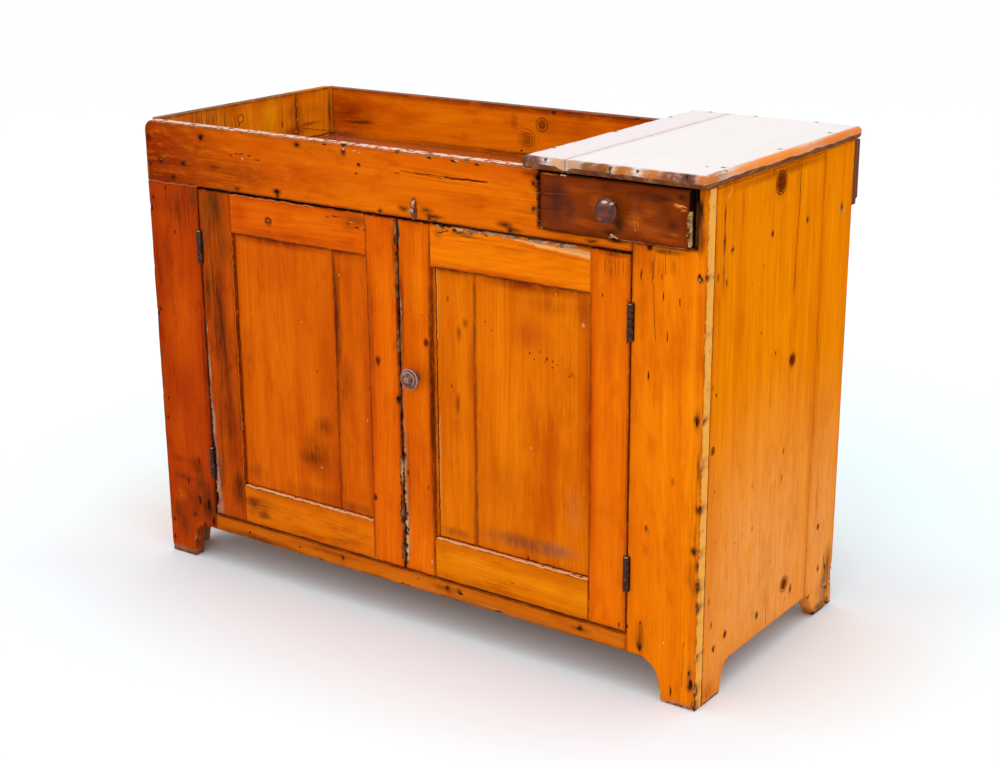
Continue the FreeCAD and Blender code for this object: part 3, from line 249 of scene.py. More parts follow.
def wood(name, box, flat, grain, tone, seed, dark=(), pale=(), knots=(), cracks=(),
         patches=(), strokes=(), checks=(), circles=(), nails=(), rings=0.006, figure=0.2,
         soil=0.5, seams=0.45, dings=0.5, gloss=0.32, level=0.01, coat=0.0, blotch=0.6,
         mottle=0.5, lines=0.7, broken=(DIRT_AND_SHADE, BROKEN), beyond=None, shown=None):
    """Varnished pine. box is the board's corners, and the marks are measured in mm.

    dark, pale, knots and nails hold (across, along, half width, half height). patches add
    (colour, strength) to that, and checks add a strength. cracks are (start, end, width),
    strokes (start, end, width, colour, strength) and circles (across, along, radius, width,
    colour, strength). A patch or stroke stronger than 1 also covers the worn arris. beyond is
    (axis, mm, way, colour): the wood past that level has the other colour.
    """
    finish = Finish(name, {"Specular IOR Level": level, "Coat Roughness": 0.2,
                           "Coat Weight": coat, "Coat IOR": 2.2 if coat > 0.8 else 1.5})
    side = [axis for axis in (ACROSS, DEEP, UP) if axis not in (flat, grain)][0]
    shift = [seed * 1.37 % 7, seed * 2.11 % 5, seed * 0.73 % 9]

    def along_grain(fine, length):
        made = [fine, fine, fine]
        made[grain] = length
        return finish.stretched(made, shift)

    def ovals(marks, core=0.55, grow=1.0):
        return strongest([oval(finish, ragged, flat, a, b, w * grow, t * grow, core)
                          for a, b, w, t in marks])

    def shade(share, factor):
        return [part * share * f for part, f in zip(tone[:3], factor)] + [1.0]

    def deepen(body, share, by=DEEPER):
        return finish.blend(share, body, by, "MULTIPLY")

    jitter = finish.clouds(finish.place, 70.0, 3.0, 0.6, output=1)
    ragged = finish.vector("MULTIPLY_ADD", finish.vector("SUBTRACT", jitter, (0.5,) * 3),
                           (0.006,) * 3, finish.place)
    # Growth rings of a log that lies behind the face, with a slow taper along the grain.
    heart = [(low + high) / 2 for low, high in zip(*box)]
    heart[side] += (seed % 3 - 1) * 0.04
    heart[flat] += 0.05 + 0.03 * (seed % 2)
    flatten = [0.0 if axis == grain else 1.0 for axis in range(3)]
    ray = finish.vector("MULTIPLY_ADD", finish.place, flatten,
                        [-h * keep for h, keep in zip(heart, flatten)])
    sway = finish.clouds(along_grain(7.0, 1.6), detail=3.0)
    taper = finish.vector("DOT_PRODUCT", finish.place,
                          [0.0 if keep else 0.035 for keep in flatten], output=1)
    radius = finish.vector("LENGTH", ray, output=1) + sway * 0.05 + taper
    if knots:
        swirl = ovals(knots, 0.0, 3.4)
        radius = radius + swirl * 0.014
    phase = (radius / rings).math("FRACT", radius / rings)
    late = phase.over(0.3, 0.85) * phase.over(1.0, 0.9)
    fibre = finish.clouds(along_grain(520.0, 11.0), rough=0.65)
    strand = finish.clouds(along_grain(150.0, 3.6), detail=4.0, rough=0.65)
    streak = finish.clouds(along_grain(40.0, 1.4), detail=4.0, rough=0.6)
    cloud = finish.clouds(along_grain(9.0, 3.5), detail=4.0, rough=0.62)
    spots = finish.clouds(along_grain(34.0, 13.0), detail=4.0, rough=0.65)
    # Noise that breaks up every mark, the dirt and the painted shade and highlights alike.
    breakup = finish.clouds(along_grain(80.0, 26.0), detail=4.0, rough=0.68)
    fine = finish.clouds(finish.place, 240.0, 2.0, 0.6)

    low_share, high_share = 1 - 0.12 * lines, 1 + 0.08 * lines
    warm = min(1.0, lines / 0.7)
    body = finish.blend(streak.over(0.3, 0.7),
                        shade(low_share, (1, 1 - 0.1 * warm, 1 - 0.25 * warm)),
                        shade(high_share, (1, 1 + 0.06 * warm, 1 + 0.2 * warm)))
    for a, b, w, t, other, strength in patches:
        body = finish.blend(oval(finish, ragged, flat, a, b, w, t, 0.0) * strength
                            * breakup.over(0.3, 0.55, 0.45, 1.0), body, other)
    body = deepen(body, cloud.over(0.5, 0.76) * blotch)
    body = deepen(body, cloud.over(0.45, 0.24) * blotch * 0.7, PALER)
    body = deepen(body, spots.over(0.5, 0.78) * mottle, (0.62, 0.42, 0.28, 1))
    body = deepen(body, spots.over(0.46, 0.28) * mottle * 0.6, PALER)
    body = deepen(body, late * figure * streak.over(0.1, 0.8, 0.3, 1.0))
    body = deepen(body, strand.over(0.5, 0.74) * 0.45 * lines)
    body = deepen(body, strand.over(0.44, 0.26) * 0.45 * lines, PALER)
    body = deepen(body, fibre.over(0.46, 0.76) * 0.55 * lines)
    body = deepen(body, fibre.over(0.44, 0.28) * 0.4 * lines, PALER)
    deep = late * figure * 0.3 + fibre * 0.3 + strand * 0.3
    for a, b, w, t, strength in checks:
        region = oval(finish, ragged, flat, a, b, w, t, 0.3) * strength
        crazed = strongest([strand.over(0.55, 0.66) * 0.8, fibre.over(0.5, 0.62),
                            spots.over(0.5, 0.62) * 0.5]) * region
        body = finish.blend(crazed * 0.75, body, colour(76, 28, 6))
        deep = deep - crazed * 0.6
    for a, b, w, t in knots:
        away = away_from(finish, ragged, flat, a, b, w, t)
        body = deepen(body, away.over(2.1, 0.7) * 0.6)
        body = finish.blend(away.over(1.05, 0.75) * fine.over(0.3, 0.6, 0.65, 0.95), body,
                            colour(104, 34, 8))
        turns = (away * 3.2).math("FRACT", away * 3.2)
        body = finish.blend(away.over(1.3, 1.1) * turns.over(0.35, 0.7) * turns.over(1.0, 0.9)
                            * 0.7, body, DIRT_AND_SHADE)
        deep = deep - away.over(1.1, 0.8) * 0.4
    # Darker towards the borders: deeper varnish and dirt, and on the door panels painted shade
    # where the frame stands over them.
    low, high = shown or box
    borders = finish.vector("MINIMUM",
                            finish.vector("SUBTRACT", finish.place, list(low)),
                            finish.vector("SUBTRACT", list(high), finish.place))
    parts = [finish.node("ShaderNodeSeparateXYZ", {}, (borders,), axis)
             for axis in plane(flat)]
    border = parts[0].math("MINIMUM", *parts)
    body = deepen(body, border.over(0.026, 0.0) * cloud.over(0.3, 0.65, 0.25, 1.0) * soil)
    body = finish.blend(border.over(0.007, 0.001) * breakup.over(0.36, 0.56, 0.2, 1.0) * soil,
                        body, UMBER)
    for start, end, w, other, strength in strokes:
        mark = line(finish, ragged, flat, start, end, w)
        body = finish.blend(mark * breakup.over(0.25, 0.5, 0.55, 1.0) * strength, body, other)
    for a, b, r, w, other, strength in circles:
        body = finish.blend(circle(finish, ragged, flat, a, b, r, w)
                            * breakup.over(0.3, 0.5, 0.4, 1.0) * strength, body, other)
    cell, chance = (finish.node("ShaderNodeTexVoronoi", {}, {
        "Vector": along_grain(34.0, 15.0), "Scale": 1.0}, kind)
        for kind in ("Distance", "Color"))
    lucky = finish.vector("DOT_PRODUCT", chance, (1.0, 0.0, 0.0), output=1)
    hurt = [cell.over(0.15, 0.05) * lucky.over(1.0 - 0.2 * dings, 1.02 - 0.18 * dings)
            * 0.7]
    if dark:
        hurt.append(ovals(dark) * 0.9)
    if nails:
        body = finish.blend(ovals(nails, 0.0, 2.2) * breakup.over(0.3, 0.55, 0.4, 1.0) * 0.75,
                            body, UMBER)
        hurt.append(ovals(nails, 0.35, 0.85) * 0.85)
    hurt += [line(finish, ragged, flat, start, end, w) for start, end, w in cracks]
    hurt = strongest(hurt)
    worn, chip = finish.attribute("arris"), finish.attribute("chip")
    body = finish.blend(worn * breakup.over(0.3, 0.55, 0.4, 1.0) * seams, body, DIRT_AND_SHADE)
    again = [(line(finish, ragged, flat, start, end, w), other)
             for start, end, w, other, strength in strokes if strength > 1]
    again += [(oval(finish, ragged, flat, a, b, w, t, 0.3), other)
              for a, b, w, t, other, strength in patches if strength > 1]
    for mark, other in again:
        body = finish.blend(mark * worn.over(0.0, 0.3) * breakup.over(0.2, 0.5, 0.55, 1.0),
                            body, other)
    split = strongest([breakup.over(0.44, 0.6), fibre.over(0.5, 0.62) * 0.7])
    body = finish.blend(chip, body, finish.blend(split, *broken))
    body = finish.blend(hurt, body, BLACK_GRIME_AND_SHADOW)
    if pale:
        body = finish.blend(ovals(pale, 0.35) * breakup.over(0.3, 0.55, 0.35, 1.0), body,
                            finish.blend(fibre, colour(190, 130, 92), CREAM))
    if beyond:
        axis, level_mm, way, other = beyond
        reach = finish.vector("DOT_PRODUCT", ragged,
                              [way if i == axis else 0.0 for i in range(3)], output=1)
        edge = way * (level_mm + CORNER[axis]) * MM
        body = finish.blend(reach.over(edge - 1.5 * MM, edge + 1.5 * MM), body,
                            deepen(deepen(other, strand.over(0.45, 0.7) * 0.5),
                                   spots.over(0.45, 0.75) * 0.6))
    deep = deep - hurt * 1.6 - chip * 0.6
    rough = streak.over(0.3, 0.8, gloss, gloss + 0.16) + hurt * 0.3 + chip * 0.3
    links = {"Base Color": body, "Roughness": rough, "Normal": finish.bump(deep, 0.5, 0.0012)}
    if coat:
        links["Coat Weight"] = strongest([worn, hurt, border.over(0.011, 0.006)]).over(
            0.05, 0.6, coat, coat * 0.15)
    return finish.feed(links)


def bare_wood(name, box, flat, grain, tone, seed, **marks):
    """Pine that was never varnished: dry, greyed by dust and stained here and there."""
    return wood(name, box, flat, grain, tone, seed, figure=0.5, soil=0.7, dings=0.3,
                seams=0.35, gloss=0.62, level=0.1, lines=1.0, **marks)


def iron(name, tone, rust, bright, rough):
    """Old iron: black scale, rust in blotches and bright specks here and there."""
    finish = Finish(name)
    blotch = finish.clouds(finish.place, 160.0, 4.0, 0.65)
    pit = finish.clouds(finish.place, 900.0, 2.0, 0.6)
    body = finish.blend(blotch.over(0.45, 0.7), tone, rust)
    body = finish.blend(pit.over(0.62, 0.75) * 0.6, body, bright)
    return finish.feed({"Base Color": body,
                        "Metallic": blotch.over(0.7, 0.4, 0.2, 0.85),
                        "Roughness": blotch.over(0.3, 0.7, rough, rough + 0.3),
                        "Normal": finish.bump(pit * 0.5 + blotch, 0.6, 0.0004)})


def turned_wood(name, centre, tone, other, coat, rough, bands, rubs_and_painted_light=()):
    """A turned knob's finish, in mm from its middle.

    bands are its lathe rings, as (radius, width, colour, strength); a dark band is painted
    shade in a groove. rubs are worn places, painted highlights, painted reflections and painted
    shade, as (across, up, half width, half height, colour, strength).
    """
    finish = Finish(name, {"Coat Weight": coat, "Coat Roughness": 0.16,
                           "Specular IOR Level": 0.25})
    offset = finish.vector("MULTIPLY_ADD", finish.place, (1.0, 0.0, 1.0),
                           (-centre[0], 0.0, -centre[1]))
    radius = finish.vector("LENGTH", offset, output=1)
    blotch = finish.clouds(finish.place, 120.0, 3.0, 0.6)
    speckle = finish.clouds(finish.place, 420.0, 3.0, 0.65)
    body = finish.blend(blotch.over(0.42, 0.6), tone, other)
    body = finish.blend(speckle.over(0.5, 0.7) * 0.35, body, BLACK_GRIME_AND_SHADOW)
    for middle, wide, shade, strength in bands:
        band = radius.over((middle - wide) * MM, middle * MM) \
            * radius.over((middle + wide) * MM, middle * MM)
        body = finish.blend(band * blotch.over(0.3, 0.5, 0.35, 1.0) * strength, body, shade)
    for across, up, wide, tall, shade, strength in rubs_and_painted_light:
        away = finish.vector("LENGTH", finish.vector(
            "MULTIPLY_ADD", offset, (1 / (wide * MM), 0.0, 1 / (tall * MM)),
            (-across / wide, 0.0, -up / tall)), output=1)
        body = finish.blend(away.over(1.0, 0.2) * speckle.over(0.3, 0.55, 0.6, 1.0) * strength,
                            body, shade)
    rough = speckle.over(0.3, 0.7, rough, rough + 0.25)
    return finish.feed({"Base Color": body, "Roughness": rough,
                        "Normal": finish.bump(speckle + blotch * 0.5, 0.3, 0.0006)})


# ---- Boards: the outline of a CAD board, with worn edges -----------------------------

def outline(node, flat, outer):
    """The outline of a CAD board's face on the side outer (1 high, -1 low), in metres."""
    mesh = bmesh.new()
    mesh.from_mesh(frame["nodes"][node].data)
    bmesh.ops.remove_doubles(mesh, verts=mesh.verts, dist=WELD)
    mesh.verts.index_update()
    mesh.verts.ensure_lookup_table()
    level = max(v.co[flat] * outer for v in mesh.verts)
    face = {f for f in mesh.faces if all(abs(v.co[flat] * outer - level) < ONE_LEVEL
                                         for v in f.verts)}
    ahead = {}
    for part in face:
        for loop in part.loops:
            if not any(other in face for other in loop.edge.link_faces if other != part):
                ahead.setdefault(loop.vert.index, []).append(loop.link_loop_next.vert.index)
    first, second = plane(flat)
    loops = []
    while ahead:
        start = min(ahead)
        path, here = [], start
        while here in ahead:
            path.append(here)
            following = ahead[here].pop()
            if not ahead[here]:
                del ahead[here]
            here = following
        loops.append([Vector((mesh.verts[i].co[first], mesh.verts[i].co[second]))
                      for i in path])
    mesh.free()
    best = max(loops, key=lambda points: abs(area(points)))
    if node == "back_board_2":
        # The middle seam of the back stays shut, so no light shows between the doors.
        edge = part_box("back_board_3")[0].x
        for point in best:
            if abs(point.x - edge) < SEAM_REACH:
                point.x = edge + SEAM_LAP
    return best if area(best) > 0 else best[::-1]


def area(points):
    """Twice the area inside a closed outline, positive where it runs anticlockwise."""
    return sum(a.x * b.y - b.x * a.y for a, b in zip(points, points[1:] + points[:1]))


def notches(points):
    """The corners of an outline that lie in a shallow notch, each with (start, inward)."""
    count = len(points)
    found = {}
    for i in range(count):
        a, b, c, d = (points[(i + k) % count] for k in range(4))
        first, bottom, last = b - a, c - b, d - c
        if (max(first.length, last.length) < NOTCH_DEPTH and first.cross(bottom) < 0
                and bottom.cross(last) < 0):
            for k in (1, 2):
                found[(i + k) % count] = (a, first)
    return found


def eased(points, radius, step):
    """The outline with its corners rounded and its long runs divided.

    Gives (place, inward, limit, mitre, near, notch): how the outline draws in at each point.
    Beyond limit, a rounded corner draws in along its mitre. near lists the corners, as
    (place, mitre, slope), that a point of a straight run meets when it is drawn in far.
    """
    soft = []
    count = len(points)
    shallow = notches(points)
    for i, here in enumerate(points):
        back, on = points[i - 1] - here, points[(i + 1) % count] - here
        if min(back.length, on.length) < 1e-7:
            continue
        turn = math.pi - back.angle(on)
        if turn < SOFT_TURN:
            soft.append((here, None, 1.0, None, None, shallow.get(i)))
            continue
        size = min(radius, 0.45 * min(back.length, on.length) / math.tan(turn / 2))
        convex = on.y * back.x - on.x * back.y < 0
        mitre = (back.normalized() + on.normalized()).normalized() / math.cos(turn / 2)
        centre = here + mitre * size
        arm = here + back.normalized() * size * math.tan(turn / 2) - centre
        way = 1 if convex else -1
        corner = (here, mitre, math.tan(turn / 2)) if convex else None
        for k in range(CORNER_PARTS + 1):
            swing = way * turn * k / CORNER_PARTS
            spoke = Vector((arm.x * math.cos(swing) - arm.y * math.sin(swing),
                            arm.x * math.sin(swing) + arm.y * math.cos(swing)))
            soft.append((centre + spoke, spoke.normalized() * -way,
                         size if convex else 1.0, mitre, corner, shallow.get(i)))
    ring = []
    for i, (here, inward, limit, mitre, corner, notch) in enumerate(soft):
        on, _, _, _, following, after = soft[(i + 1) % len(soft)]
        parts = max(1, round((on - here).length / step))
        ring.append((here, inward, limit, mitre,
                     [corner] if corner and inward is None else [], notch))
        near = [met for met in (corner, following) if met]
        ring += [(here.lerp(on, k / parts), None, 1.0, None, near, notch or after)
                 for k in range(1, parts)]
    return [p for i, p in enumerate(ring) if (p[0] - ring[i - 1][0]).length > 1e-4]


def drawn_in(corner, inward, inset):
    """Where a point of an eased outline comes to, when it is drawn in by inset."""
    here, _, limit, mitre, near, notch = corner
    if notch and inset > 0.002:
        start, depth = notch
        across = depth.normalized()
        level = here - across * (here - start).dot(across)
        return level + across * max(inset, depth.length + 0.0024)
    for place, slant, slope in near:
        if (here - place).length < inset * slope:
            return place + slant * inset
    if inset <= limit:
        return here + inward * inset
    return here + inward * limit + mitre * (inset - limit)


def tightness(flat, u, v):
    """The most rounding, in mm, where a board meets the next one edge to edge."""
    best = 99.0
    for left, low, right, high in TIGHT.get(flat, ()):
        first, second = plane(flat)
        across, along = u / MM - CORNER[first], v / MM - CORNER[second]
        best = min(best, math.hypot(max(left - across, 0, across - right),
                                    max(low - along, 0, along - high)))
    return 0.35 + 0.3 * max(0.0, best - 1.5)


def panel_seam(node):
    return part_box(node)[1].x / MM - CORNER[ACROSS]


# Joints in mm, as (left, low, right, high) on the faces that look along the axis.
TIGHT = {DEEP: [(x, z, x, z + 76) for x in (214, 535, 686, 1007) for z in (110, 690)]
         + [(panel_seam(node), 187, panel_seam(node), 690)
            for node in ("left_door_wide_panel", "right_door_narrow_panel")]
         + [(130, 60, 130, 105), (1085, 60, 1085, 105), (1084.6, 768, 1084.6, 784),
            (10, 768, 130, 768), (1083.75, 110, 1083.75, 768)],
         ACROSS: [(406.1, 0, 406.1, 900), (22.5, 0, 22.5, 900)]}


def uneven(u, v, seed, scale):
    """Steady noise from -1 to 1 along an edge, with scale waves to the metre."""
    return noise.noise(Vector((u * scale, v * scale, seed * 3.17)))


def missing(losses, flat, here, seed):
    """How much wood is lost at a point of an edge; losses are in mm."""
    total = 0.0
    first, second = plane(flat)
    for across, along, reach, depth in losses:
        spot = mark_frame(flat, across, along)
        gap = (here - Vector((spot[first], spot[second]))).length / (reach * MM)
        total += depth * MM * max(0.0, 1 - gap ** 2) * max(
            0.0, 0.65 + 1.1 * uneven(here.x, here.y, seed, 140)
            + 0.5 * uneven(here.x, here.y, seed + 2, 420))
    return total


def rabbeted(data, box):
    """The mesh with a box cut out of it, where another board fits in."""
    low, high = box
    cutter = bmesh.new()
    bmesh.ops.create_cube(cutter, size=1.0, matrix=Matrix.Translation((low + high) / 2)
                          @ Matrix.Diagonal((*(high - low), 1.0)))
    for face in cutter.faces:
        face.material_index = 1
    knife = bpy.data.meshes.new("knife")
    cutter.to_mesh(knife)
    cutter.free()
    for material in data.materials:
        knife.materials.append(material)
    made = [bpy.data.objects.new(name, mesh) for name, mesh in (("cut", data),
                                                                ("knife", knife))]
    for item in made:
        scene.collection.objects.link(item)
    modifier = made[0].modifiers.new("rabbet", "BOOLEAN")
    modifier.operation, modifier.object = "DIFFERENCE", made[1]
    modifier.solver = "FAST"
    ready = made[0].evaluated_get(bpy.context.evaluated_depsgraph_get())
    cut = bpy.data.meshes.new_from_object(ready)
    for item in made:
        bpy.data.objects.remove(item)
    return cut


def stand_in(name, data, node):
    """Adds a finished mesh as the piece that stands for its CAD node."""
    piece = bpy.data.objects.new(name, data)
    scene.collection.objects.link(piece)
    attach(piece, BODY_OF[node])
    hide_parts(node)


def settle(name, mesh, node, materials, cut=None):
    """Turns a finished bmesh into the piece for its CAD node."""
    data = bpy.data.meshes.new(name)
    mesh.to_mesh(data)
    mesh.free()
    for material in materials:
        data.materials.append(material)
    if cut:
        data = rabbeted(data, cut)
    stand_in(name, data, node)


STEP_MM, WOBBLE_MM = 3.5, 0.25     # spacing along an edge, and how far it wanders
ARRIS = [0.0, 0.0, 0.55, 1.0, 0.8, 0.4, 0.25]   # how rubbed each ring of a rounding is


def plank(node, flat, outer, materials, points=None, round_mm=1.6, inner_mm=1.0,
          chips=(), bites=(), seed=1, corner_mm=None, edge=None, worn_mm=(0.0, 0.0),
          core_mm=12.0, cut=None):
    """A board with worn edges in place of a CAD board.

    round_mm and inner_mm are the rounding at the outer and the inner face. chips are
    (across, along, reach, depth) in mm. edge(u, v) may give another rounding in mm.
    worn_mm is how far the outer and the inner face stand back. cut is a box cut out.
    """
    low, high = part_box(node)
    lowered, raised = worn_mm if outer < 0 else worn_mm[::-1]
    low, high = low[flat] + lowered * MM, high[flat] - raised * MM
    points = points or outline(node, flat, outer)
    points = eased(points, (corner_mm or max(round_mm, inner_mm)) * MM, STEP_MM * MM)
    count = len(points)
    thick = high - low
    angles = (90, 60, 30, 0)
    sizes = sorted(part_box(node)[1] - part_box(node)[0])
    core = min(core_mm * MM, 0.28 * sizes[1])
    rings = [[] for _ in range(2 * len(angles) + 6)]
    arris_of, chip_of = [], []
    middle = (low + high) / 2
    for i, corner in enumerate(points):
        here, inward = corner[:2]
        if inward is None:
            run = (points[(i + 1) % count][0] - points[i - 1][0]).normalized()
            inward = Vector((-run.y, run.x))
        outer_round, inner_round = round_mm * MM, inner_mm * MM
        if edge:
            outer_round, inner_round = (value * MM for value in edge(here.x, here.y))
        fit = tightness(flat, here.x, here.y) * MM
        ease = min(1.0, fit / outer_round)
        outer_round, inner_round = min(outer_round, fit), min(inner_round, fit)
        outer_round *= 1 + 0.45 * uneven(here.x, here.y, seed, 38)
        inner_round *= 1 + 0.3 * uneven(here.x, here.y, seed + 9, 30)
        lost = missing(chips, flat, here, seed + 3)
        bitten = missing(bites, flat, here, seed + 7)
        outer_round = min(outer_round + lost, thick * 0.45)
        inner_round = min(inner_round, thick * 0.45)
        dent = (WOBBLE_MM * ease * MM * abs(uneven(here.x, here.y, seed + 5, 26)) + lost * 0.25
                + bitten)
        sides = [(low, inner_round, 1), (high, outer_round, -1)]
        if outer < 0:
            sides = [(low, outer_round, 1), (high, inner_round, -1)]
        column = []
        for (face, radius, way), order in zip(sides, (angles, angles[::-1])):
            part = []
            for angle in order:
                turn = math.radians(angle)
                part.append((dent + radius * (1 - math.cos(turn)),
                             face + way * radius * (1 - math.sin(turn))))
            flat_ring = (dent + radius + 0.0016, face)
            wall = (dent, face + way * (radius + min(0.0012, abs(middle - face) - radius)))
            column += [flat_ring, *part, wall] if way > 0 else [wall, *part, flat_ring]
        far = max(core, column[0][0] + 0.0005, column[-1][0] + 0.0005)
        column = [(far, low), *column, (far, high)]
        for ring, (inset, depth) in zip(rings, column):
            spot = [0.0, 0.0, 0.0]
            flat_place = drawn_in(corner, inward, inset)
            first, second = plane(flat)
            spot[first], spot[second], spot[flat] = flat_place.x, flat_place.y, depth
            ring.append(spot)
        arris_of.append(ARRIS + ARRIS[::-1])
        gone = min(1.0, (lost + bitten) / (1.2 * MM))
        half = [0.0, 0.0, gone, gone, gone, gone, 0.6 * gone]
        none = [0.0] * len(half)
        chip_of.append((none + half[::-1]) if outer > 0 else (half + none))
    mesh = bmesh.new()
    arris = mesh.verts.layers.float.new("arris")
    chip = mesh.verts.layers.float.new("chip")
    grid = []
    for level, ring in enumerate(rings):
        row = []
        for i, spot in enumerate(ring):
            vert = mesh.verts.new(spot)
            vert[arris], vert[chip] = arris_of[i][level], chip_of[i][level]
            row.append(vert)
        grid.append(row)
    half_way = len(rings) // 2
    for level in range(len(grid) - 1):
        behind = (level < half_way - 1) if outer > 0 else (level >= half_way)
        for i in range(count):
            j = (i + 1) % count
            face = mesh.faces.new((grid[level][i], grid[level][j],
                                   grid[level + 1][j], grid[level + 1][i]))
            face.smooth = True
            face.material_index = int(behind and len(materials) > 1)
    for row, behind in ((grid[0], outer > 0), (grid[-1], outer < 0)):
        face = mesh.faces.new(row)
        face.material_index = int(behind and len(materials) > 1)
    bmesh.ops.remove_doubles(mesh, verts=mesh.verts, dist=5e-6)
    bmesh.ops.recalc_face_normals(mesh, faces=mesh.faces)
    settle(node + "_worn", mesh, node, materials, cut)


# ---- Nails -----------------------------------------------------------------------------

def islands(node):
    """The corners of each separate solid of a CAD node."""
    mesh = bmesh.new()
    mesh.from_mesh(frame["nodes"][node].data)
    bmesh.ops.remove_doubles(mesh, verts=mesh.verts, dist=WELD)
    left, found = set(mesh.verts), []
    for start in list(mesh.verts):
        if start not in left:
            continue
        left.discard(start)
        group, edge = [], [start]
        while edge:
            vert = edge.pop()
            group.append(vert.co.copy())
            for other in (link.other_vert(vert) for link in vert.link_edges):
                if other in left:
                    left.discard(other)
                    edge.append(other)
        found.append(group)
    mesh.free()
    return found


def driven(node):
    """Where each nail of a CAD node has its head, and which way the head faces."""
    found = []
    for group in islands(node):
        axis = longest((Vector(map(min, zip(*group))), Vector(map(max, zip(*group)))))
        ends = []
        for pick in (min, max):
            level = pick(co[axis] for co in group)
            cap = [co for co in group if abs(co[axis] - level) < ONE_LEVEL]
            middle = sum(cap, Vector()) / len(cap)
            ends.append((max((co - middle).length for co in cap), middle))
        (_, tip), (_, head) = sorted(ends, key=lambda end: end[0])
        found.append((head, (head - tip).normalized()))
    return found


NAILS = {node: driven(node) for node in ("face_nails", "side_nails", "lid_nails",
                                         "back_nails", "drawer_nails")}


def nail_tree():
    """Hammered nails on points: a flattened head, turned at random, on its shank."""
    tree = bpy.data.node_groups.new("hammered_nails", "GeometryNodeTree")
    face = tree.interface
    face.new_socket("Points", in_out="INPUT", socket_type="NodeSocketGeometry")
    for name, size in (("Head Radius", 0.0027), ("Head Height", 0.0009),
                       ("Shank Length", 0.02)):
        face.new_socket(name, in_out="INPUT",
                        socket_type="NodeSocketFloat").default_value = size
    face.new_socket("Iron", in_out="INPUT", socket_type="NodeSocketMaterial")
    face.new_socket("Nails", in_out="OUTPUT", socket_type="NodeSocketGeometry")
    maker = Maker(tree)
    given = tree.nodes.new("NodeGroupInput")
    points, size, height, length, metal = (Reading(maker, given.outputs[i])
                                           for i in range(5))
    outward = maker.node("GeometryNodeInputNamedAttribute",
                         {"data_type": "FLOAT_VECTOR"}, {"Name": "outward"})
    spin = maker.node("FunctionNodeRandomValue", {"data_type": "FLOAT_VECTOR"},
                      {0: (-0.09, -0.09, 0.0), 1: (0.09, 0.09, 6.283), "Seed": 7})
    stand = maker.node("FunctionNodeAlignRotationToVector", {"axis": "Z"},
                       {"Vector": outward})
    turn = maker.node("FunctionNodeRotateRotation", {"rotation_space": "LOCAL"},
                      {0: stand, 1: spin})
    head = maker.node("GeometryNodeMeshCone", {}, {
        "Vertices": 9, "Radius Top": size * 0.62, "Radius Bottom": size, "Depth": height})
    jitter = maker.node("FunctionNodeRandomValue", {"data_type": "FLOAT_VECTOR"},
                        {0: (-0.0004, -0.0004, -0.00015), 1: (0.0004, 0.0004, 0.00015),
                         "Seed": 3})
    head = maker.node("GeometryNodeSetPosition", {}, {"Geometry": head, "Offset": jitter})
    head = maker.node("GeometryNodeTransform", {}, {
        "Geometry": head,
        "Translation": maker.node("ShaderNodeCombineXYZ", {}, {2: -0.0003 - height})})
    shank = maker.node("GeometryNodeMeshCone", {}, {
        "Vertices": 4, "Radius Top": size * 0.6, "Radius Bottom": size * 0.3,
        "Depth": length})
    shank = maker.node("GeometryNodeTransform", {}, {
        "Geometry": shank,
        "Translation": maker.node("ShaderNodeCombineXYZ", {},
                                  {2: 0.0 - length - height})})
    joined = tree.nodes.new("GeometryNodeJoinGeometry")
    for part in (shank, head):
        tree.links.new(part.socket, joined.inputs[0])
    size_change = maker.node("FunctionNodeRandomValue", {"data_type": "FLOAT"},
                             {2: 0.85, 3: 1.2, "Seed": 11}, 1)
    placed = maker.node("GeometryNodeInstanceOnPoints", {}, {
        "Points": points, "Instance": Reading(maker, joined.outputs[0]),
        "Rotation": turn, "Scale": size_change})
    real = maker.node("GeometryNodeRealizeInstances", {}, {"Geometry": placed})
    dressed = maker.node("GeometryNodeSetMaterial", {}, {"Geometry": real,
                                                         "Material": metal})
    out = tree.nodes.new("NodeGroupOutput")
    tree.links.new(dressed.socket, out.inputs[0])
    return tree


def socket_of(tree, name):
    """The identifier by which a modifier sets an input of its tree."""
    return next(item.identifier for item in tree.interface.items_tree
                if item.name == name and item.in_out == "INPUT")


def grown(name, base, tree, inputs):
    """The plain mesh that a tree grows on a base mesh."""
    seed_object = bpy.data.objects.new(name + "_points", base)
    scene.collection.objects.link(seed_object)
    modifier = seed_object.modifiers.new("grow", "NODES")
    modifier.node_group = tree
    for key, value in inputs.items():
        modifier[socket_of(tree, key)] = value
    ready = seed_object.evaluated_get(bpy.context.evaluated_depsgraph_get())
    mesh = bpy.data.meshes.new_from_object(ready)
    seed_object.modifiers.clear()
    bpy.data.objects.remove(seed_object)
    return mesh


def drive_nails(node, tree, metal, head_mm, length_mm):
    """Hammered nails in place of the CAD ones."""
    base = bpy.data.meshes.new(node + "_points")
    base.from_pydata([spot for spot, _ in NAILS[node]], [], [])
    outward = base.attributes.new("outward", "FLOAT_VECTOR", "POINT")
    for item, (_, way) in zip(outward.data, NAILS[node]):
        item.vector = way
    mesh = grown(node, base, tree, {"Head Radius": head_mm * MM,
                                    "Shank Length": length_mm * MM, "Iron": metal})
    stand_in(node + "_hammered", mesh, node)


def nail_marks(box, flat, outer):
    """The nails whose heads show on a board's outer face, as marks in mm."""
    level = box[1][flat] if outer > 0 else box[0][flat]
    first, second = plane(flat)
    return [(spot[first] / MM - CORNER[first], spot[second] / MM - CORNER[second], 4.5, 5.0)
            for spots in NAILS.values() for spot, way in spots
            if way[flat] * outer > 0.9 and abs(spot[flat] - level) < 0.002
            and all(box[0][axis] - 0.004 < spot[axis] < box[1][axis] + 0.004
                    for axis in (first, second))]


# ---- The boards ------------------------------------------------------------------------

seeds = iter(range(1, 500))


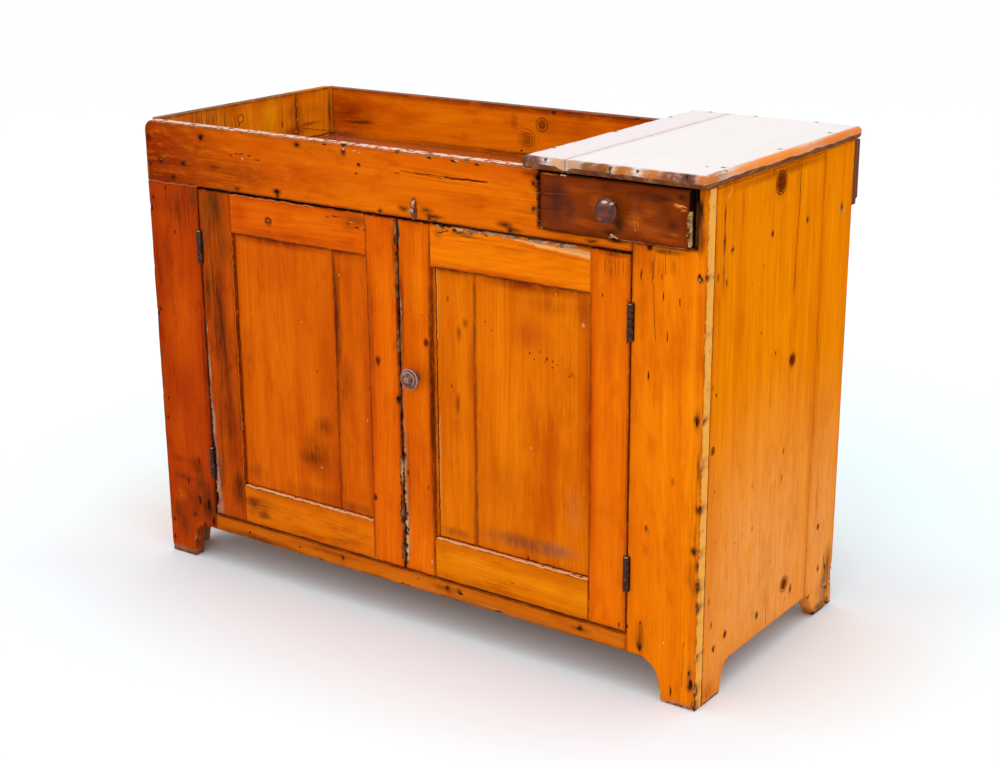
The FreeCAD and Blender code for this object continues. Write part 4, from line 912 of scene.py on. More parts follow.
def board(node, outer, tone, grain=None, bare=False, shape=None, inner=None, **marks):
    """A worn board with its own finish outside and dry wood inside.

    Where nails go in, the wood is worn by more than the heads stand out.
    """
    box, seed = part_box(node), next(seeds)
    flat = thinnest(box)
    grain = longest(box) if grain is None else grain
    front, back = (nail_marks(box, flat, side) for side in (outer, -outer))
    shape = dict(worn_mm=(0.6 if front else 0.0, 0.6 if back else 0.0), **(shape or {}))
    marks["nails"] = front
    if bare:
        materials = [bare_wood(node + "_dry", box, flat, grain, tone, seed, **marks)]
    else:
        materials = [wood(node + "_pine", box, flat, grain, tone, seed, **marks),
                     inner(node + "_inner", box, flat, grain, seed, nails=back) if inner
                     else bare_wood(node + "_dry", box, flat, grain, DRY, seed, nails=back)]
    plank(node, flat, outer, materials, seed=seed, **shape)


def seen_part(node, around):
    """The box of the part of a panel board that shows inside its frame."""
    low, high = (corner.copy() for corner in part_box(node))
    left, right, below, above = (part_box(name) for name in around)
    low.x, high.x = max(low.x, left[1].x), min(high.x, right[0].x)
    low.z, high.z = max(low.z, below[1].z), min(high.z, above[0].z)
    return low, high


# Painted highlights along top edges: the first on the front board, the second there too and on
# the doors' bottom rails.
GLINT = colour(252, 218, 192)
EDGE_HIGHLIGHT = colour(232, 170, 120)
# Dark red, for painted shade along the edges of door panels and for some dark joints and
# stains.
WINE = colour(112, 32, 4)
EDGE = dict(round_mm=2.2)
board("front_board", -1, ORANGE, blotch=0.6, mottle=0.6,
      shape=dict(round_mm=2.4, core_mm=7, chips=[
          (494, 883.5, 8, 2.2), (451, 883.5, 5, 1.2), (612, 883.5, 7, 1.5),
          (681, 883.5, 10, 2.5), (760, 883.5, 9, 2), (904, 853, 3, 1), (904, 842, 3, 1),
          (904, 813, 3, 1.2), (904, 796, 3, 1), (690, 768, 18, 2), (850, 768, 14, 1.5)]),
      patches=[(0, 830, 380, 170, colour(140, 37, 1), 1.0),
               (330, 815, 360, 60, colour(190, 74, 3), 0.8),
               (420, 870, 160, 22, colour(226, 122, 8), 0.6),
               (520, 800, 120, 20, colour(224, 116, 6), 0.6),
               (250, 800, 120, 30, colour(150, 62, 4), 0.5),
               (40, 776, 300, 14, colour(126, 36, 3), 0.8),
               (147, 862, 17, 13, colour(70, 24, 6), 1.1), (99, 809, 13, 9, UMBER, 1.0),
               (39, 810, 15, 12, colour(92, 58, 22), 1.1), (70, 780, 11, 8, DIRT_AND_SHADE, 1.0),
               (386, 872, 15, 10, colour(110, 44, 10), 1.1), (333, 780, 18, 9, DIRT_AND_SHADE, 1.1),
               (235, 776, 14, 8, UMBER, 0.9), (12, 848, 10, 9, UMBER, 0.9),
               (178, 809, 16, 10, colour(128, 44, 4), 0.6),
               (625, 785, 20, 9, colour(96, 34, 6), 0.9), (676, 786, 22, 10, DIRT_AND_SHADE, 1.0),
               (690, 778, 34, 6, DIRT_AND_SHADE, 0.9), (838, 782, 26, 9, UMBER, 1.0),
               (856, 776, 30, 6, DIRT_AND_SHADE, 0.8), (494, 868, 10, 12, colour(92, 42, 16), 1.0),
               (902, 868, 9, 10, BLACK_GRIME_AND_SHADOW, 1.0), (888, 872, 24, 8, UMBER, 0.8),
               (900, 852, 9, 12, UMBER, 0.7),
               # The darker strip under the drawer is painted shadow of the drawer front, with
               # dark smudges in it.
               (1009, 777, 20, 5, DIRT_AND_SHADE, 1.0), (1054, 781, 24, 5, DIRT_AND_SHADE, 1.0),
               (980, 786, 90, 8, colour(140, 66, 10), 0.8),
               (840, 850, 60, 26, colour(206, 88, 4), 0.6),
               (760, 810, 90, 20, colour(204, 90, 4), 0.5)],
      # The two pale strokes along the top edge are painted highlight, and the pale stroke along
      # the lower edge too; the black stroke at the right end of the lower edge is painted
      # shadow in the gap over the door.
      strokes=[((0, 884), (905, 884), 1.2, GLINT, 0.85),
               ((0, 881.4), (905, 881.4), 1.0, EDGE_HIGHLIGHT, 0.5),
               ((-1, 874), (3, 776), 1.8, colour(214, 140, 90), 0.6),
               ((0, 768), (1080, 768), 1.2, colour(190, 110, 60), 0.6),
               ((904, 880), (904, 790), 1.4, colour(112, 50, 12), 0.8),
               ((1076, 768), (1084, 768), 2.4, BLACK_GRIME_AND_SHADOW, 0.8)],
      dark=[(222, 837, 6, 1.3), (236, 841, 5, 1.2), (249, 842, 7, 1.4), (269, 840, 7, 1.4),
            (288, 835, 8, 1.3), (527, 851, 4, 2), (522, 834, 3.4, 2), (8, 848, 2, 3),
            (147, 862, 7, 6), (99, 809, 4, 3), (39, 810, 3, 3),
            (333, 781, 7, 4), (70, 780, 3, 2.4), (27, 858, 3, 2), (494, 872, 5, 3),
            (386, 872, 5, 4), (451, 878, 6, 2), (903, 857, 2.4, 0.8), (902, 845, 2.4, 0.8),
            (903, 832, 3, 0.8), (903, 819, 2, 0.8), (903, 804, 3, 0.8), (904, 867, 4, 5),
            (683, 877, 6, 2.4), (735, 877, 9, 2), (782, 876, 6, 2), (613, 844, 8, 1.2)],
      knots=[(39, 810, 5, 5), (528, 849, 4, 3)],
      checks=[(110, 800, 220, 60, 0.5), (700, 850, 120, 14, 0.4), (880, 800, 40, 60, 0.3)],
      cracks=[((620, 849), (712, 846), 0.7), ((650, 849), (803, 850), 0.8),
              ((716, 847), (803, 849.5), 1.6)],
      circles=[(70, 780, 5, 1.3, DIRT_AND_SHADE, 0.7)],
      pale=[(494, 874, 4, 2.5), (519, 874, 5, 1.4), (531, 872, 3, 1.2), (252, 833, 2, 4),
            (905, 842, 2.4, 0.9), (905, 813, 2.4, 0.9), (905, 796, 2.4, 0.9),
            (741, 879, 6, 1.4), (40, 812, 1.6, 1.6)])
board("left_stile", -1, colour(180, 62, 2), grain=UP, mottle=0.8,
      shape=dict(round_mm=2.2, chips=[
          (0, 714, 10, 2), (0, 503, 10, 2), (0, 340, 12, 1.5), (66, 12, 16, 4),
          (0, 6, 16, 4), (35, 0, 30, 2.5), (70, 40, 18, 2), (0, 600, 14, 1.5)]),
      patches=[(110, 120, 34, 70, colour(96, 40, 8), 1.0),
               (60, 110, 60, 60, colour(130, 44, 4), 0.9),
               (36, 206, 30, 12, colour(120, 44, 6), 0.9),
               (50, 168, 40, 12, colour(96, 44, 12), 0.9),
               (34, 128, 26, 22, colour(196, 84, 4), 0.8),
               (92, 168, 20, 40, colour(120, 58, 14), 0.8),
               (22, 90, 20, 30, colour(104, 40, 8), 0.8),
               (40, 60, 30, 40, colour(110, 44, 8), 0.8), (84, 200, 30, 30, WINE, 0.9),
               (30, 8, 70, 12, colour(150, 110, 82), 0.9),
               (66, 500, 60, 160, colour(206, 86, 3), 0.7),
               (44, 260, 40, 90, colour(200, 76, 3), 0.6),
               (66, 730, 70, 40, colour(130, 40, 3), 0.7),
               (118, 745, 18, 30, colour(104, 60, 24), 0.8),
               (122, 420, 7, 200, colour(92, 32, 5), 0.7),
               (20, 640, 20, 100, colour(150, 48, 2), 0.6)],
      strokes=[((0, 770), (0, 0), 2.0, colour(226, 124, 56), 0.45),
               ((130, 768), (130, 110), 1.2, UMBER, 0.9),
               ((2, 1), (70, 1), 3.4, colour(176, 146, 118), 1.2),
               ((69, 4), (74, 50), 2.4, colour(206, 156, 108), 1.0),
               ((0, 767), (130, 767), 1.2, colour(206, 130, 84), 0.6)],
      checks=[(85, 720, 60, 70, 0.7), (100, 140, 44, 70, 0.8), (30, 600, 30, 120, 0.4)],
      dark=[(64, 673, 2.5, 5), (7, 714, 3, 8), (5, 503, 3, 9), (91, 211, 2, 8),
            (112, 122, 5, 16), (87, 127, 3, 12), (58, 161, 2.5, 10), (122, 88, 5, 12),
            (27, 127, 3, 3), (10, 30, 3, 6), (16, 330, 2, 5), (46, 757, 3, 6)],
      cracks=[((49, 765), (46, 735), 0.6), ((98, 765), (97, 728), 0.6),
              ((120, 765), (118, 715), 0.6)])
board("right_stile", -1, AMBER, grain=UP, blotch=0.5, mottle=0.5, soil=0.3, seams=0.3,
      broken=(colour(74, 34, 14), colour(214, 128, 54)),
      shape=dict(round_mm=2.2, core_mm=6.5, chips=[
          (1220, 744, 8, 1.5), (1220, 652, 8, 1.2), (1220, 513, 10, 2.5), (1220, 440, 14, 2.5),
          (1220, 361, 12, 2.5), (1220, 284, 12, 2.5), (1220, 228, 14, 3), (1220, 188, 12, 2.5),
          (1220, 100, 10, 1.5), (1220, 40, 16, 2.5), (1220, 0, 24, 5), (1185, 0, 26, 3.5),
          (1153, 12, 12, 2)]),
      # The dark patches right of the drawer and the wide dark strip under it are painted shadow
      # of the drawer front.
      patches=[(1116, 779, 11, 9, BLACK_GRIME_AND_SHADOW, 1.0), (1145, 777, 44, 7, UMBER, 0.9),
               (1205, 836, 14, 80, colour(104, 50, 12), 1.0), (1204, 852, 11, 34, DIRT_AND_SHADE, 1.0),
               (1207, 800, 11, 30, colour(130, 66, 16), 0.9),
               (1190, 5, 50, 9, colour(176, 130, 92), 0.9),
               (1100, 780, 40, 120, colour(206, 88, 3), 0.6),
               (1208, 640, 11, 160, colour(206, 92, 4), 0.7),
               (1208, 510, 9, 30, DIRT_AND_SHADE, 0.9), (1213, 430, 6, 40, colour(120, 56, 10), 0.9),
               (1213, 361, 8, 16, UMBER, 1.0), (1209, 288, 9, 14, DIRT_AND_SHADE, 1.0),
               (1216, 263, 6, 18, UMBER, 0.9), (1217, 224, 7, 22, DIRT_AND_SHADE, 0.9),
               (1217, 190, 6, 18, DIRT_AND_SHADE, 0.8), (1207, 60, 10, 40, colour(150, 84, 36), 0.8),
               (1210, 45, 7, 14, DIRT_AND_SHADE, 0.9), (1196, 500, 22, 300, colour(246, 142, 8), 0.5),
               (1110, 300, 30, 200, colour(226, 104, 3), 0.5),
               (1110, 108, 12, 40, colour(150, 72, 10), 0.8), (1121, 305, 7, 12, UMBER, 0.8)],
      # The first stroke paints the stile's side face paler and yellower than its front: painted
      # light on that face.
      strokes=[((1220.4, 884), (1220.4, 0), 2.6, colour(255, 184, 80), 0.9),
               ((1217.6, 760), (1217.6, 330), 0.8, colour(160, 70, 6), 0.7),
               ((1085, 768), (1085, 110), 0.8, colour(140, 36, 2), 0.8),
               ((1124, 770), (1124, 730), 0.9, WINE, 0.8),
               ((1144, 774), (1146, 740), 1.0, colour(90, 34, 6), 0.7),
               ((1150, 1), (1218, 1), 3.4, colour(190, 156, 120), 1.2)],
      checks=[(1140, 752, 60, 20, 0.35), (1207, 300, 12, 220, 0.6), (1111, 110, 14, 40, 0.7)],
      dark=[(1101, 734, 1.6, 12), (1142, 704, 1.4, 9), (1172, 700, 1.5, 9),
            (1151, 640, 1.7, 11), (1117, 570, 2, 12), (1119, 308, 1.8, 6),
            (1206, 743, 5, 9), (1139, 736, 1.2, 6), (1172, 24, 2, 12),
            (1111, 88, 4, 9), (1111, 134, 2, 5), (1116, 780, 6, 5),
            (1210, 50, 4, 10), (1086, 121, 2, 4), (1209, 508, 3, 10), (1206, 68, 2, 6)],
      pale=[(1157, 110, 2.6, 3), (1206, 741, 2, 4)],
      cracks=[((1121, 757), (1129, 632), 0.6), ((1195, 120), (1193, 40), 0.6)])
board("bottom_rail", -1, colour(206, 106, 12), mottle=0.8,
      shape=dict(round_mm=1.8, chips=[(x, 74, 12, 2) for x in (210, 400, 610, 820, 1010)]),
      patches=[(240, 80, 160, 12, colour(130, 62, 18), 0.9),
               (420, 96, 120, 8, colour(146, 60, 8), 0.8),
               (700, 92, 50, 8, colour(120, 50, 10), 0.8),
               (800, 80, 240, 8, colour(196, 120, 50), 0.7),
               (990, 90, 30, 8, colour(120, 56, 16), 0.8)],
      strokes=[((131, 105.4), (1084, 105.4), 0.8, UMBER, 0.8),
               ((131, 75), (1084, 75), 1.3, colour(196, 120, 60), 0.7)],
      dark=[(220, 89, 4, 3), (640, 95, 3, 2), (737, 91, 7, 3), (991, 91, 7, 3),
            (704, 96, 3, 2), (350, 88, 5, 2)], pale=[(676, 84, 3, 1.4)])

LEFT_RAIL, LEFT_PANEL = colour(219, 94, 3), colour(213, 96, 3)
RIGHT_RAIL, RIGHT_PANEL = colour(238, 122, 3), colour(222, 112, 3)
LEFT_FRAME = ("left_door_hinge_stile", "left_door_lock_stile", "left_door_bottom_rail",
              "left_door_top_rail")
RIGHT_FRAME = ("right_door_lock_stile", "right_door_hinge_stile",
               "right_door_bottom_rail", "right_door_top_rail")
board("left_door_top_rail", -1, LEFT_RAIL, shape=dict(round_mm=2.4),
      patches=[(330, 700, 190, 14, colour(170, 58, 3), 0.7),
               (520, 752, 70, 12, colour(140, 66, 12), 0.7),
               (235, 730, 40, 40, colour(190, 66, 3), 0.8),
               (400, 735, 80, 26, colour(232, 116, 6), 0.5)],
      # Painted shadow along the top edge in the gap under the front board, a thin painted
      # highlight just below it, and painted shade along the lower edge over the panel.
      strokes=[((214, 765), (610, 765), 1.6, BLACK_GRIME_AND_SHADOW, 1.0),
               ((214, 763), (420, 763), 0.9, colour(240, 160, 90), 0.6),
               ((214, 690.4), (535, 690.4), 0.9, UMBER, 0.8)],
      dark=[(306, 721, 3, 2), (500, 742, 5, 1.4), (520, 738, 6, 1.6), (538, 736, 5, 1.6),
            (470, 752, 10, 1.1), (452, 748, 4, 1.2), (309, 723, 6.4, 6)],
      circles=[(309, 723, 7.5, 3.0, colour(64, 32, 12), 1.0)],
      pale=[(508, 746, 3, 1.0), (309, 724, 1.8, 1.8)], checks=[(510, 742, 60, 16, 0.6)])
board("left_door_bottom_rail", -1, colour(219, 110, 4), shape=EDGE, mottle=0.7,
      patches=[(235, 152, 24, 18, UMBER, 0.8), (262, 135, 26, 16, UMBER, 0.7),
               (246, 160, 60, 14, colour(150, 62, 6), 0.7),
               (420, 120, 110, 10, colour(176, 74, 4), 0.7)],
      # The pale stroke along the top edge is painted highlight.
      strokes=[((214, 187), (535, 187), 1.2, EDGE_HIGHLIGHT, 1.2),
               ((214, 110.4), (535, 110.4), 0.9, DIRT_AND_SHADE, 0.9)],
      checks=[(250, 148, 60, 30, 0.7), (470, 130, 60, 12, 0.5)])
board("left_door_hinge_stile", -1, colour(184, 74, 3), broken=(DIRT_AND_SHADE, SPLINTER), mottle=1.0,
      blotch=0.9, shape=dict(
          round_mm=2.0, chips=[(132.5, 500, 30, 1.5), (132.5, 400, 40, 2.5),
                               (132.5, 330, 40, 4), (132.5, 250, 50, 5),
                               (132.5, 180, 50, 7), (132.5, 135, 30, 8)]),
      patches=[(170, 735, 50, 70, colour(112, 56, 10), 1.0),
               (190, 660, 22, 60, colour(126, 60, 10), 0.9),
               (148, 670, 12, 70, colour(130, 70, 30), 0.8),
               (146, 580, 14, 60, colour(88, 40, 8), 1.0),
               (170, 500, 24, 200, colour(120, 44, 5), 0.85),
               (198, 180, 20, 50, UMBER, 1.0), (186, 310, 26, 130, colour(130, 44, 4), 0.8),
               (206, 500, 9, 200, colour(214, 96, 6), 0.7),
               (137, 400, 5, 90, SPLINTER, 0.9), (139, 290, 8, 90, SPLINTER, 1.0),
               (143, 190, 12, 80, SPLINTER, 1.0), (145, 130, 13, 40, colour(176, 132, 106), 1),
               (150, 200, 7, 60, colour(112, 70, 52), 0.7)],
      # Painted shadow along the top edge in the gap under the front board, and a painted
      # highlight on the inner edge.
      strokes=[((130, 765), (215, 765), 1.6, BLACK_GRIME_AND_SHADOW, 1.0),
               ((212.6, 690), (212.6, 190), 1.0, colour(240, 132, 30), 0.7)],
      checks=[(168, 560, 30, 220, 0.9), (176, 400, 30, 200, 0.9), (160, 700, 40, 70, 0.7),
              (150, 250, 26, 120, 0.6), (200, 170, 20, 60, 0.8)],
      cracks=[((156, 640), (160, 560), 0.5), ((166, 600), (174, 500), 0.6),
              ((184, 560), (190, 460), 0.5)])
board("left_door_lock_stile", -1, colour(226, 101, 3), broken=(DIRT_AND_SHADE, colour(150, 100, 58)),
      shape=dict(round_mm=2.4, chips=[
          (608.5, 740, 30, 2.5), (608.5, 680, 30, 2), (608.5, 640, 16, 2.5),
          (608.5, 434, 10, 4), (608.5, 540, 30, 2), (608.5, 300, 40, 2.5),
          (608.5, 220, 40, 3), (608.5, 150, 30, 3)]),
      patches=[(606, 560, 5, 200, UMBER, 0.9), (541, 440, 5, 300, colour(176, 60, 2), 0.6),
               (547, 520, 8, 220, colour(160, 54, 3), 0.6), (604, 434, 8, 16, DIRT_AND_SHADE, 1.0),
               (602, 720, 8, 60, colour(110, 50, 10), 0.8),
               (570, 640, 30, 90, colour(236, 120, 5), 0.5)],
      # The first stroke is painted shadow along the top edge, in the gap under the front board.
      strokes=[((538, 765), (610, 765), 1.8, BLACK_GRIME_AND_SHADOW, 1.0),
               ((536, 690), (536, 187), 1.0, WINE, 0.8),
               ((609, 766), (609, 110), 1.6, DIRT_AND_SHADE, 1.0)],
      checks=[(600, 640, 14, 120, 0.6), (545, 560, 12, 160, 0.4)],
      dark=[(603, 436, 5, 5)], knots=[(559.5, 500, 5, 7), (544, 235, 4, 6)],
      pale=[(541, 112, 2.5, 2), (607, 300, 1.4, 30)])
PANEL = dict(round_mm=1.0, inner_mm=0.6)
board("left_door_wide_panel", -1, LEFT_PANEL, blotch=0.7, mottle=0.5, shape=PANEL,
      shown=seen_part("left_door_wide_panel", LEFT_FRAME),
      patches=[(400, 285, 60, 70, colour(140, 54, 4), 0.8),
               (384, 276, 40, 22, colour(116, 42, 4), 0.7),
               (420, 345, 36, 30, colour(128, 48, 4), 0.8),
               (432, 480, 26, 200, colour(176, 66, 3), 0.6),
               (300, 640, 110, 60, colour(192, 76, 3), 0.6),
               # The dark band along the top is painted shadow of the top rail.
               (330, 686, 150, 16, colour(130, 40, 3), 0.9),
               (320, 450, 60, 200, colour(228, 112, 6), 0.5),
               (243, 217, 40, 26, colour(150, 60, 4), 0.6),
               (400, 208, 120, 22, colour(156, 64, 6), 0.6)],
      # These strokes are painted shade where the frame stands over the panel: under the top
      # rail, beside the hinge stile and above the bottom rail.
      strokes=[((214, 689), (450, 689), 2.6, colour(84, 30, 6), 0.9),
               ((215.4, 690), (215.4, 188), 1.6, colour(96, 26, 3), 0.9),
               ((214, 189), (450, 189), 1.4, UMBER, 0.9)],
      pale=[(374, 541, 1.6, 2.4), (247, 537, 1.6, 1.6), (410, 262, 3, 1.2)],
      dark=[(407, 451, 2, 2), (300, 640, 1.6, 1.6)])
board("left_door_narrow_panel", -1, LEFT_PANEL, mottle=0.5, shape=PANEL,
      shown=seen_part("left_door_narrow_panel", LEFT_FRAME),
      patches=[(458, 560, 16, 140, colour(112, 46, 8), 1.0),
               (450, 400, 8, 200, colour(124, 50, 8), 0.9),
               (454, 640, 9, 60, colour(110, 46, 8), 0.8),
               # The dark band along the top is painted shadow of the top rail.
               (468, 690, 60, 12, colour(120, 40, 4), 0.9),
               (480, 450, 24, 60, colour(150, 60, 6), 0.7),
               (526, 440, 12, 280, colour(176, 66, 3), 0.6),
               (452, 225, 6, 50, colour(190, 130, 70), 0.8),
               (490, 200, 60, 14, colour(140, 70, 20), 0.8)],
      # These strokes are painted shade where the frame stands over the panel: under the top
      # rail, beside the lock stile and above the bottom rail.
      strokes=[((448, 689), (535, 689), 2.6, colour(84, 30, 6), 0.9),
               ((534.4, 690), (534.4, 188), 1.4, WINE, 0.8),
               ((448, 189), (535, 189), 1.4, UMBER, 0.9)],
      pale=[(469, 643, 2, 2), (449, 215, 1.6, 26), (525, 378, 1.2, 4)],
      checks=[(462, 560, 18, 120, 0.6)],
      cracks=[((460, 620), (461, 580), 0.5), ((470, 430), (466, 390), 0.5)])
board("right_door_top_rail", -1, RIGHT_RAIL, broken=(colour(96, 52, 20), colour(190, 150, 120)),
      shape=dict(round_mm=2.4, chips=[
          (x, 765.5, 22, 2.2) for x in (760, 800, 850, 905, 960)],
          bites=[(706, 765.5, 9, 8), (742, 765.5, 13, 2), (775, 765.5, 20, 2.5),
                 (830, 765.5, 40, 1.5), (930, 765.5, 60, 1.5)]),
      patches=[(745, 757, 30, 6, BLACK_GRIME_AND_SHADOW, 0.8), (850, 742, 60, 3, colour(190, 96, 8), 0.5),
               (840, 696, 170, 8, colour(206, 84, 3), 0.8),
               (700, 750, 16, 14, UMBER, 0.7), (762, 752, 26, 5, colour(150, 84, 40), 0.8)],
      # The first stroke is painted shadow in the gap under the front board; the last stroke is
      # painted shade along the lower edge over the panel.
      strokes=[((688, 765), (726, 765), 1.8, BLACK_GRIME_AND_SHADOW, 1.0),
               ((852, 761), (905, 756), 2.6, colour(226, 158, 96), 0.95),
               ((900, 757), (1004, 750), 5.0, colour(232, 166, 96), 0.97),
               ((950, 758), (1004, 755), 4.6, colour(214, 150, 90), 0.9),
               ((730, 762), (852, 763), 2.0, colour(176, 120, 90), 0.8),
               ((866, 751), (1004, 741), 1.1, colour(176, 84, 10), 0.9),
               ((686, 690.4), (1008, 690.4), 0.9, UMBER, 0.8)],
      dark=[(770, 757, 5, 1.6), (800, 758, 6, 1.4), (735, 760, 6, 3)],
      cracks=[((700, 752), (722, 757), 1.2), ((722, 757), (700, 764), 1.0)],
      checks=[(760, 748, 60, 10, 0.6)])
board("right_door_bottom_rail", -1, colour(230, 128, 5), shape=EDGE, mottle=0.5,
      patches=[(840, 118, 170, 8, colour(190, 80, 4), 0.7),
               (760, 160, 60, 12, colour(240, 144, 14), 0.6),
               (980, 150, 26, 30, colour(236, 138, 10), 0.6)],
      # The pale stroke along the top edge is painted highlight.
      strokes=[((686, 187), (1008, 187), 1.2, EDGE_HIGHLIGHT, 1.2),
               ((686, 110.4), (1008, 110.4), 0.9, DIRT_AND_SHADE, 0.9)],
      checks=[(790, 125, 60, 8, 0.5)], dark=[(850, 140, 6, 1)])
board("right_door_hinge_stile", -1, colour(228, 108, 3), shape=EDGE, mottle=0.4,
      patches=[(1012, 440, 7, 330, colour(196, 72, 2), 0.7), (1050, 760, 40, 6, UMBER, 0.7),
               (1040, 640, 30, 120, colour(214, 96, 3), 0.5),
               (1076, 200, 10, 120, colour(206, 90, 4), 0.5)],
      # The first stroke is painted shadow in the gap under the front board, the third painted
      # shade along the edge by the panel.
      strokes=[((1006, 765), (1084, 765), 1.6, BLACK_GRIME_AND_SHADOW, 0.9),
               ((1008, 187), (1008, 111), 1.2, DIRT_AND_SHADE, 0.9),
               ((1007.6, 690), (1007.6, 187), 0.9, WINE, 0.6),
               ((1082.5, 765), (1082.5, 110), 0.8, colour(140, 36, 2), 0.8)],
      checks=[(1050, 740, 40, 24, 0.6)], dark=[(1070, 120, 2, 6), (1030, 690, 1.4, 4)])
board("right_door_lock_stile", -1, colour(232, 110, 3), broken=(colour(90, 46, 20), SPLINTER),
      shape=dict(round_mm=2.2, chips=[
          (611.5, 740, 24, 2), (611.5, 600, 40, 1.5), (611.5, 440, 50, 2.5),
          (611.5, 330, 60, 3.5), (611.5, 240, 50, 5), (611.5, 180, 40, 6),
          (611.5, 140, 24, 6.5)]),
      patches=[(678, 450, 8, 330, UMBER, 0.9), (618, 600, 6, 150, UMBER, 0.7),
               (618, 200, 9, 90, colour(204, 168, 122), 0.95),
               (616, 340, 5, 110, colour(196, 156, 110), 0.9),
               (625, 300, 4, 140, colour(150, 84, 20), 0.6),
               (650, 640, 20, 80, colour(246, 136, 6), 0.5)],
      # The first stroke darkens the stile's side face by the panel as painted shade, and the
      # last is painted shadow along the top edge in the gap under the front board.
      strokes=[((686.4, 700), (686.4, 186), 2.0, colour(70, 28, 8), 0.95),
               ((612, 640), (613, 300), 1.4, colour(190, 140, 92), 0.8),
               ((614, 330), (618, 130), 2.6, colour(206, 166, 116), 0.95),
               ((611, 765), (690, 765), 1.8, BLACK_GRIME_AND_SHADOW, 1.0)],
      dark=[(660, 600, 1.6, 1.6), (668, 280, 1.6, 4), (622, 300, 2, 8), (620, 188, 2, 6)],
      knots=[(669, 551, 4, 6)], pale=[(673, 137, 2.4, 5)],
      checks=[(618, 260, 12, 150, 0.8)])
board("right_door_narrow_panel", -1, RIGHT_PANEL, shape=PANEL, mottle=0.5,
      shown=seen_part("right_door_narrow_panel", RIGHT_FRAME),
      patches=[(700, 430, 14, 260, colour(196, 78, 3), 0.6),
               (736, 576, 8, 20, colour(120, 46, 6), 1.0), (750, 598, 10, 14,
               colour(150, 58, 6), 0.9), (732, 450, 8, 30, colour(130, 50, 6), 0.9),
               # The dark band along the top is painted shadow of the top rail.
               (720, 690, 60, 14, colour(150, 50, 3), 0.9),
               (726, 205, 50, 14, colour(120, 60, 24), 0.7)],
      # Painted shade where the frame stands over the panel: under the top rail, beside the lock
      # stile and above the bottom rail; the two thin pale strokes are painted highlight on its
      # edge, and the last stroke is the dark seam.
      strokes=[((686, 689), (765, 689), 2.2, UMBER, 0.9),
               ((688.2, 700), (687.4, 188), 2.0, DIRT_AND_SHADE, 0.95),
               ((691.5, 420), (690, 230), 1.0, colour(196, 146, 96), 0.8),
               ((690.5, 686), (690, 560), 0.8, colour(220, 166, 116), 0.8),
               ((686, 189.5), (766, 189.5), 1.8, DIRT_AND_SHADE, 0.95),
               ((765, 270), (765, 188), 0.8, DIRT_AND_SHADE, 0.9)],
      pale=[(720, 346, 3, 1.2), (716, 354, 2, 1)], dark=[(719, 479, 1.6, 4)])
board("right_door_wide_panel", -1, RIGHT_PANEL, blotch=0.8, mottle=0.5, rings=0.008,
      shape=PANEL, shown=seen_part("right_door_wide_panel", RIGHT_FRAME),
      patches=[(1000, 450, 24, 260, colour(186, 70, 2), 0.8),
               (870, 218, 130, 24, colour(140, 72, 36), 0.9),
               (940, 222, 60, 20, colour(150, 96, 66), 0.6),
               (880, 600, 60, 50, colour(190, 82, 8), 0.7),
               (924, 655, 60, 26, colour(160, 66, 4), 0.6),
               (990, 655, 26, 50, colour(160, 60, 4), 0.7),
               (830, 320, 70, 70, colour(190, 88, 8), 0.5),
               (974, 300, 30, 60, colour(206, 116, 40), 0.6),
               # The dark band along the top is painted shadow of the top rail.
               (890, 684, 140, 20, colour(150, 50, 3), 0.9),
               (850, 450, 50, 180, colour(232, 124, 8), 0.5)],
      # These strokes are painted shade where the frame stands over the panel: under the top
      # rail, beside the hinge stile and above the bottom rail.
      strokes=[((766, 689), (1008, 689), 2.2, UMBER, 0.9),
               ((1006.6, 690), (1006.6, 190), 1.2, WINE, 0.7),
               ((766, 189.5), (1008, 189.5), 1.8, DIRT_AND_SHADE, 0.9)],
      dark=[(884, 567, 1.6, 2.6), (893, 558, 1.6, 1.6), (905, 572, 1.8, 2.6),
            (918, 562, 2.2, 4), (929, 549, 1.6, 2.4), (940, 555, 1.4, 1.4),
            (953, 550, 1.4, 1.4), (964, 540, 1.8, 2.2), (914, 557, 1.4, 1.4),
            (930, 560, 1.4, 3), (792, 607, 1.8, 2.2), (805, 594, 1.6, 1.6)],
      circles=[(936, 677, 5.2, 1.3, DIRT_AND_SHADE, 0.7), (1019, 494, 7, 1.6, colour(150, 62, 6), 0.7)],
      knots=[(1019, 494, 4, 5)], pale=[(990, 632, 3.4, 5), (886, 398, 3, 2)])


def side_inner(name, box, flat, grain, seed, nails=()):
    """A case side's inner face: varnished round the sink and dry in the cupboard."""
    return wood(name, box, flat, grain, colour(240, 136, 10), seed, beyond=(UP, 772, -1, DRY),
                nails=nails, soil=0.7,
                patches=[(100, 850, 130, 60, colour(206, 124, 44), 0.8),
                         (322, 850, 44, 60, colour(252, 166, 12), 0.9),
                         (160, 800, 160, 30, colour(190, 100, 16), 0.6),
                         (470, 845, 60, 20, colour(206, 110, 14), 0.5),
                         (400, 806, 60, 16, colour(150, 66, 10), 0.8),
                         (447, 816, 50, 6, colour(110, 50, 10), 0.8),
                         (512, 830, 9, 80, colour(84, 40, 14), 1.0)],
                checks=[(150, 840, 150, 60, 1.0), (400, 830, 60, 60, 0.6)],
                circles=[(241, 854, 8, 2.2, DIRT_AND_SHADE, 0.9)],
                strokes=[((0, 884.5), (524, 884.5), 1.6, colour(132, 96, 72), 0.9),
                         ((0, 787), (524, 787), 3, DIRT_AND_SHADE, 0.8),
                         ((510, 792), (430, 808), 1.6, DIRT_AND_SHADE, 0.7)],
                pale=[(241, 853, 3, 4), (404, 805, 4, 2.4), (408, 830, 1.5, 3),
                      (410, 860, 1.4, 6), (516, 800, 1.5, 2), (518, 808, 1.2, 2)],
                dark=[(236, 842, 2, 4), (407, 845, 1.4, 20)])


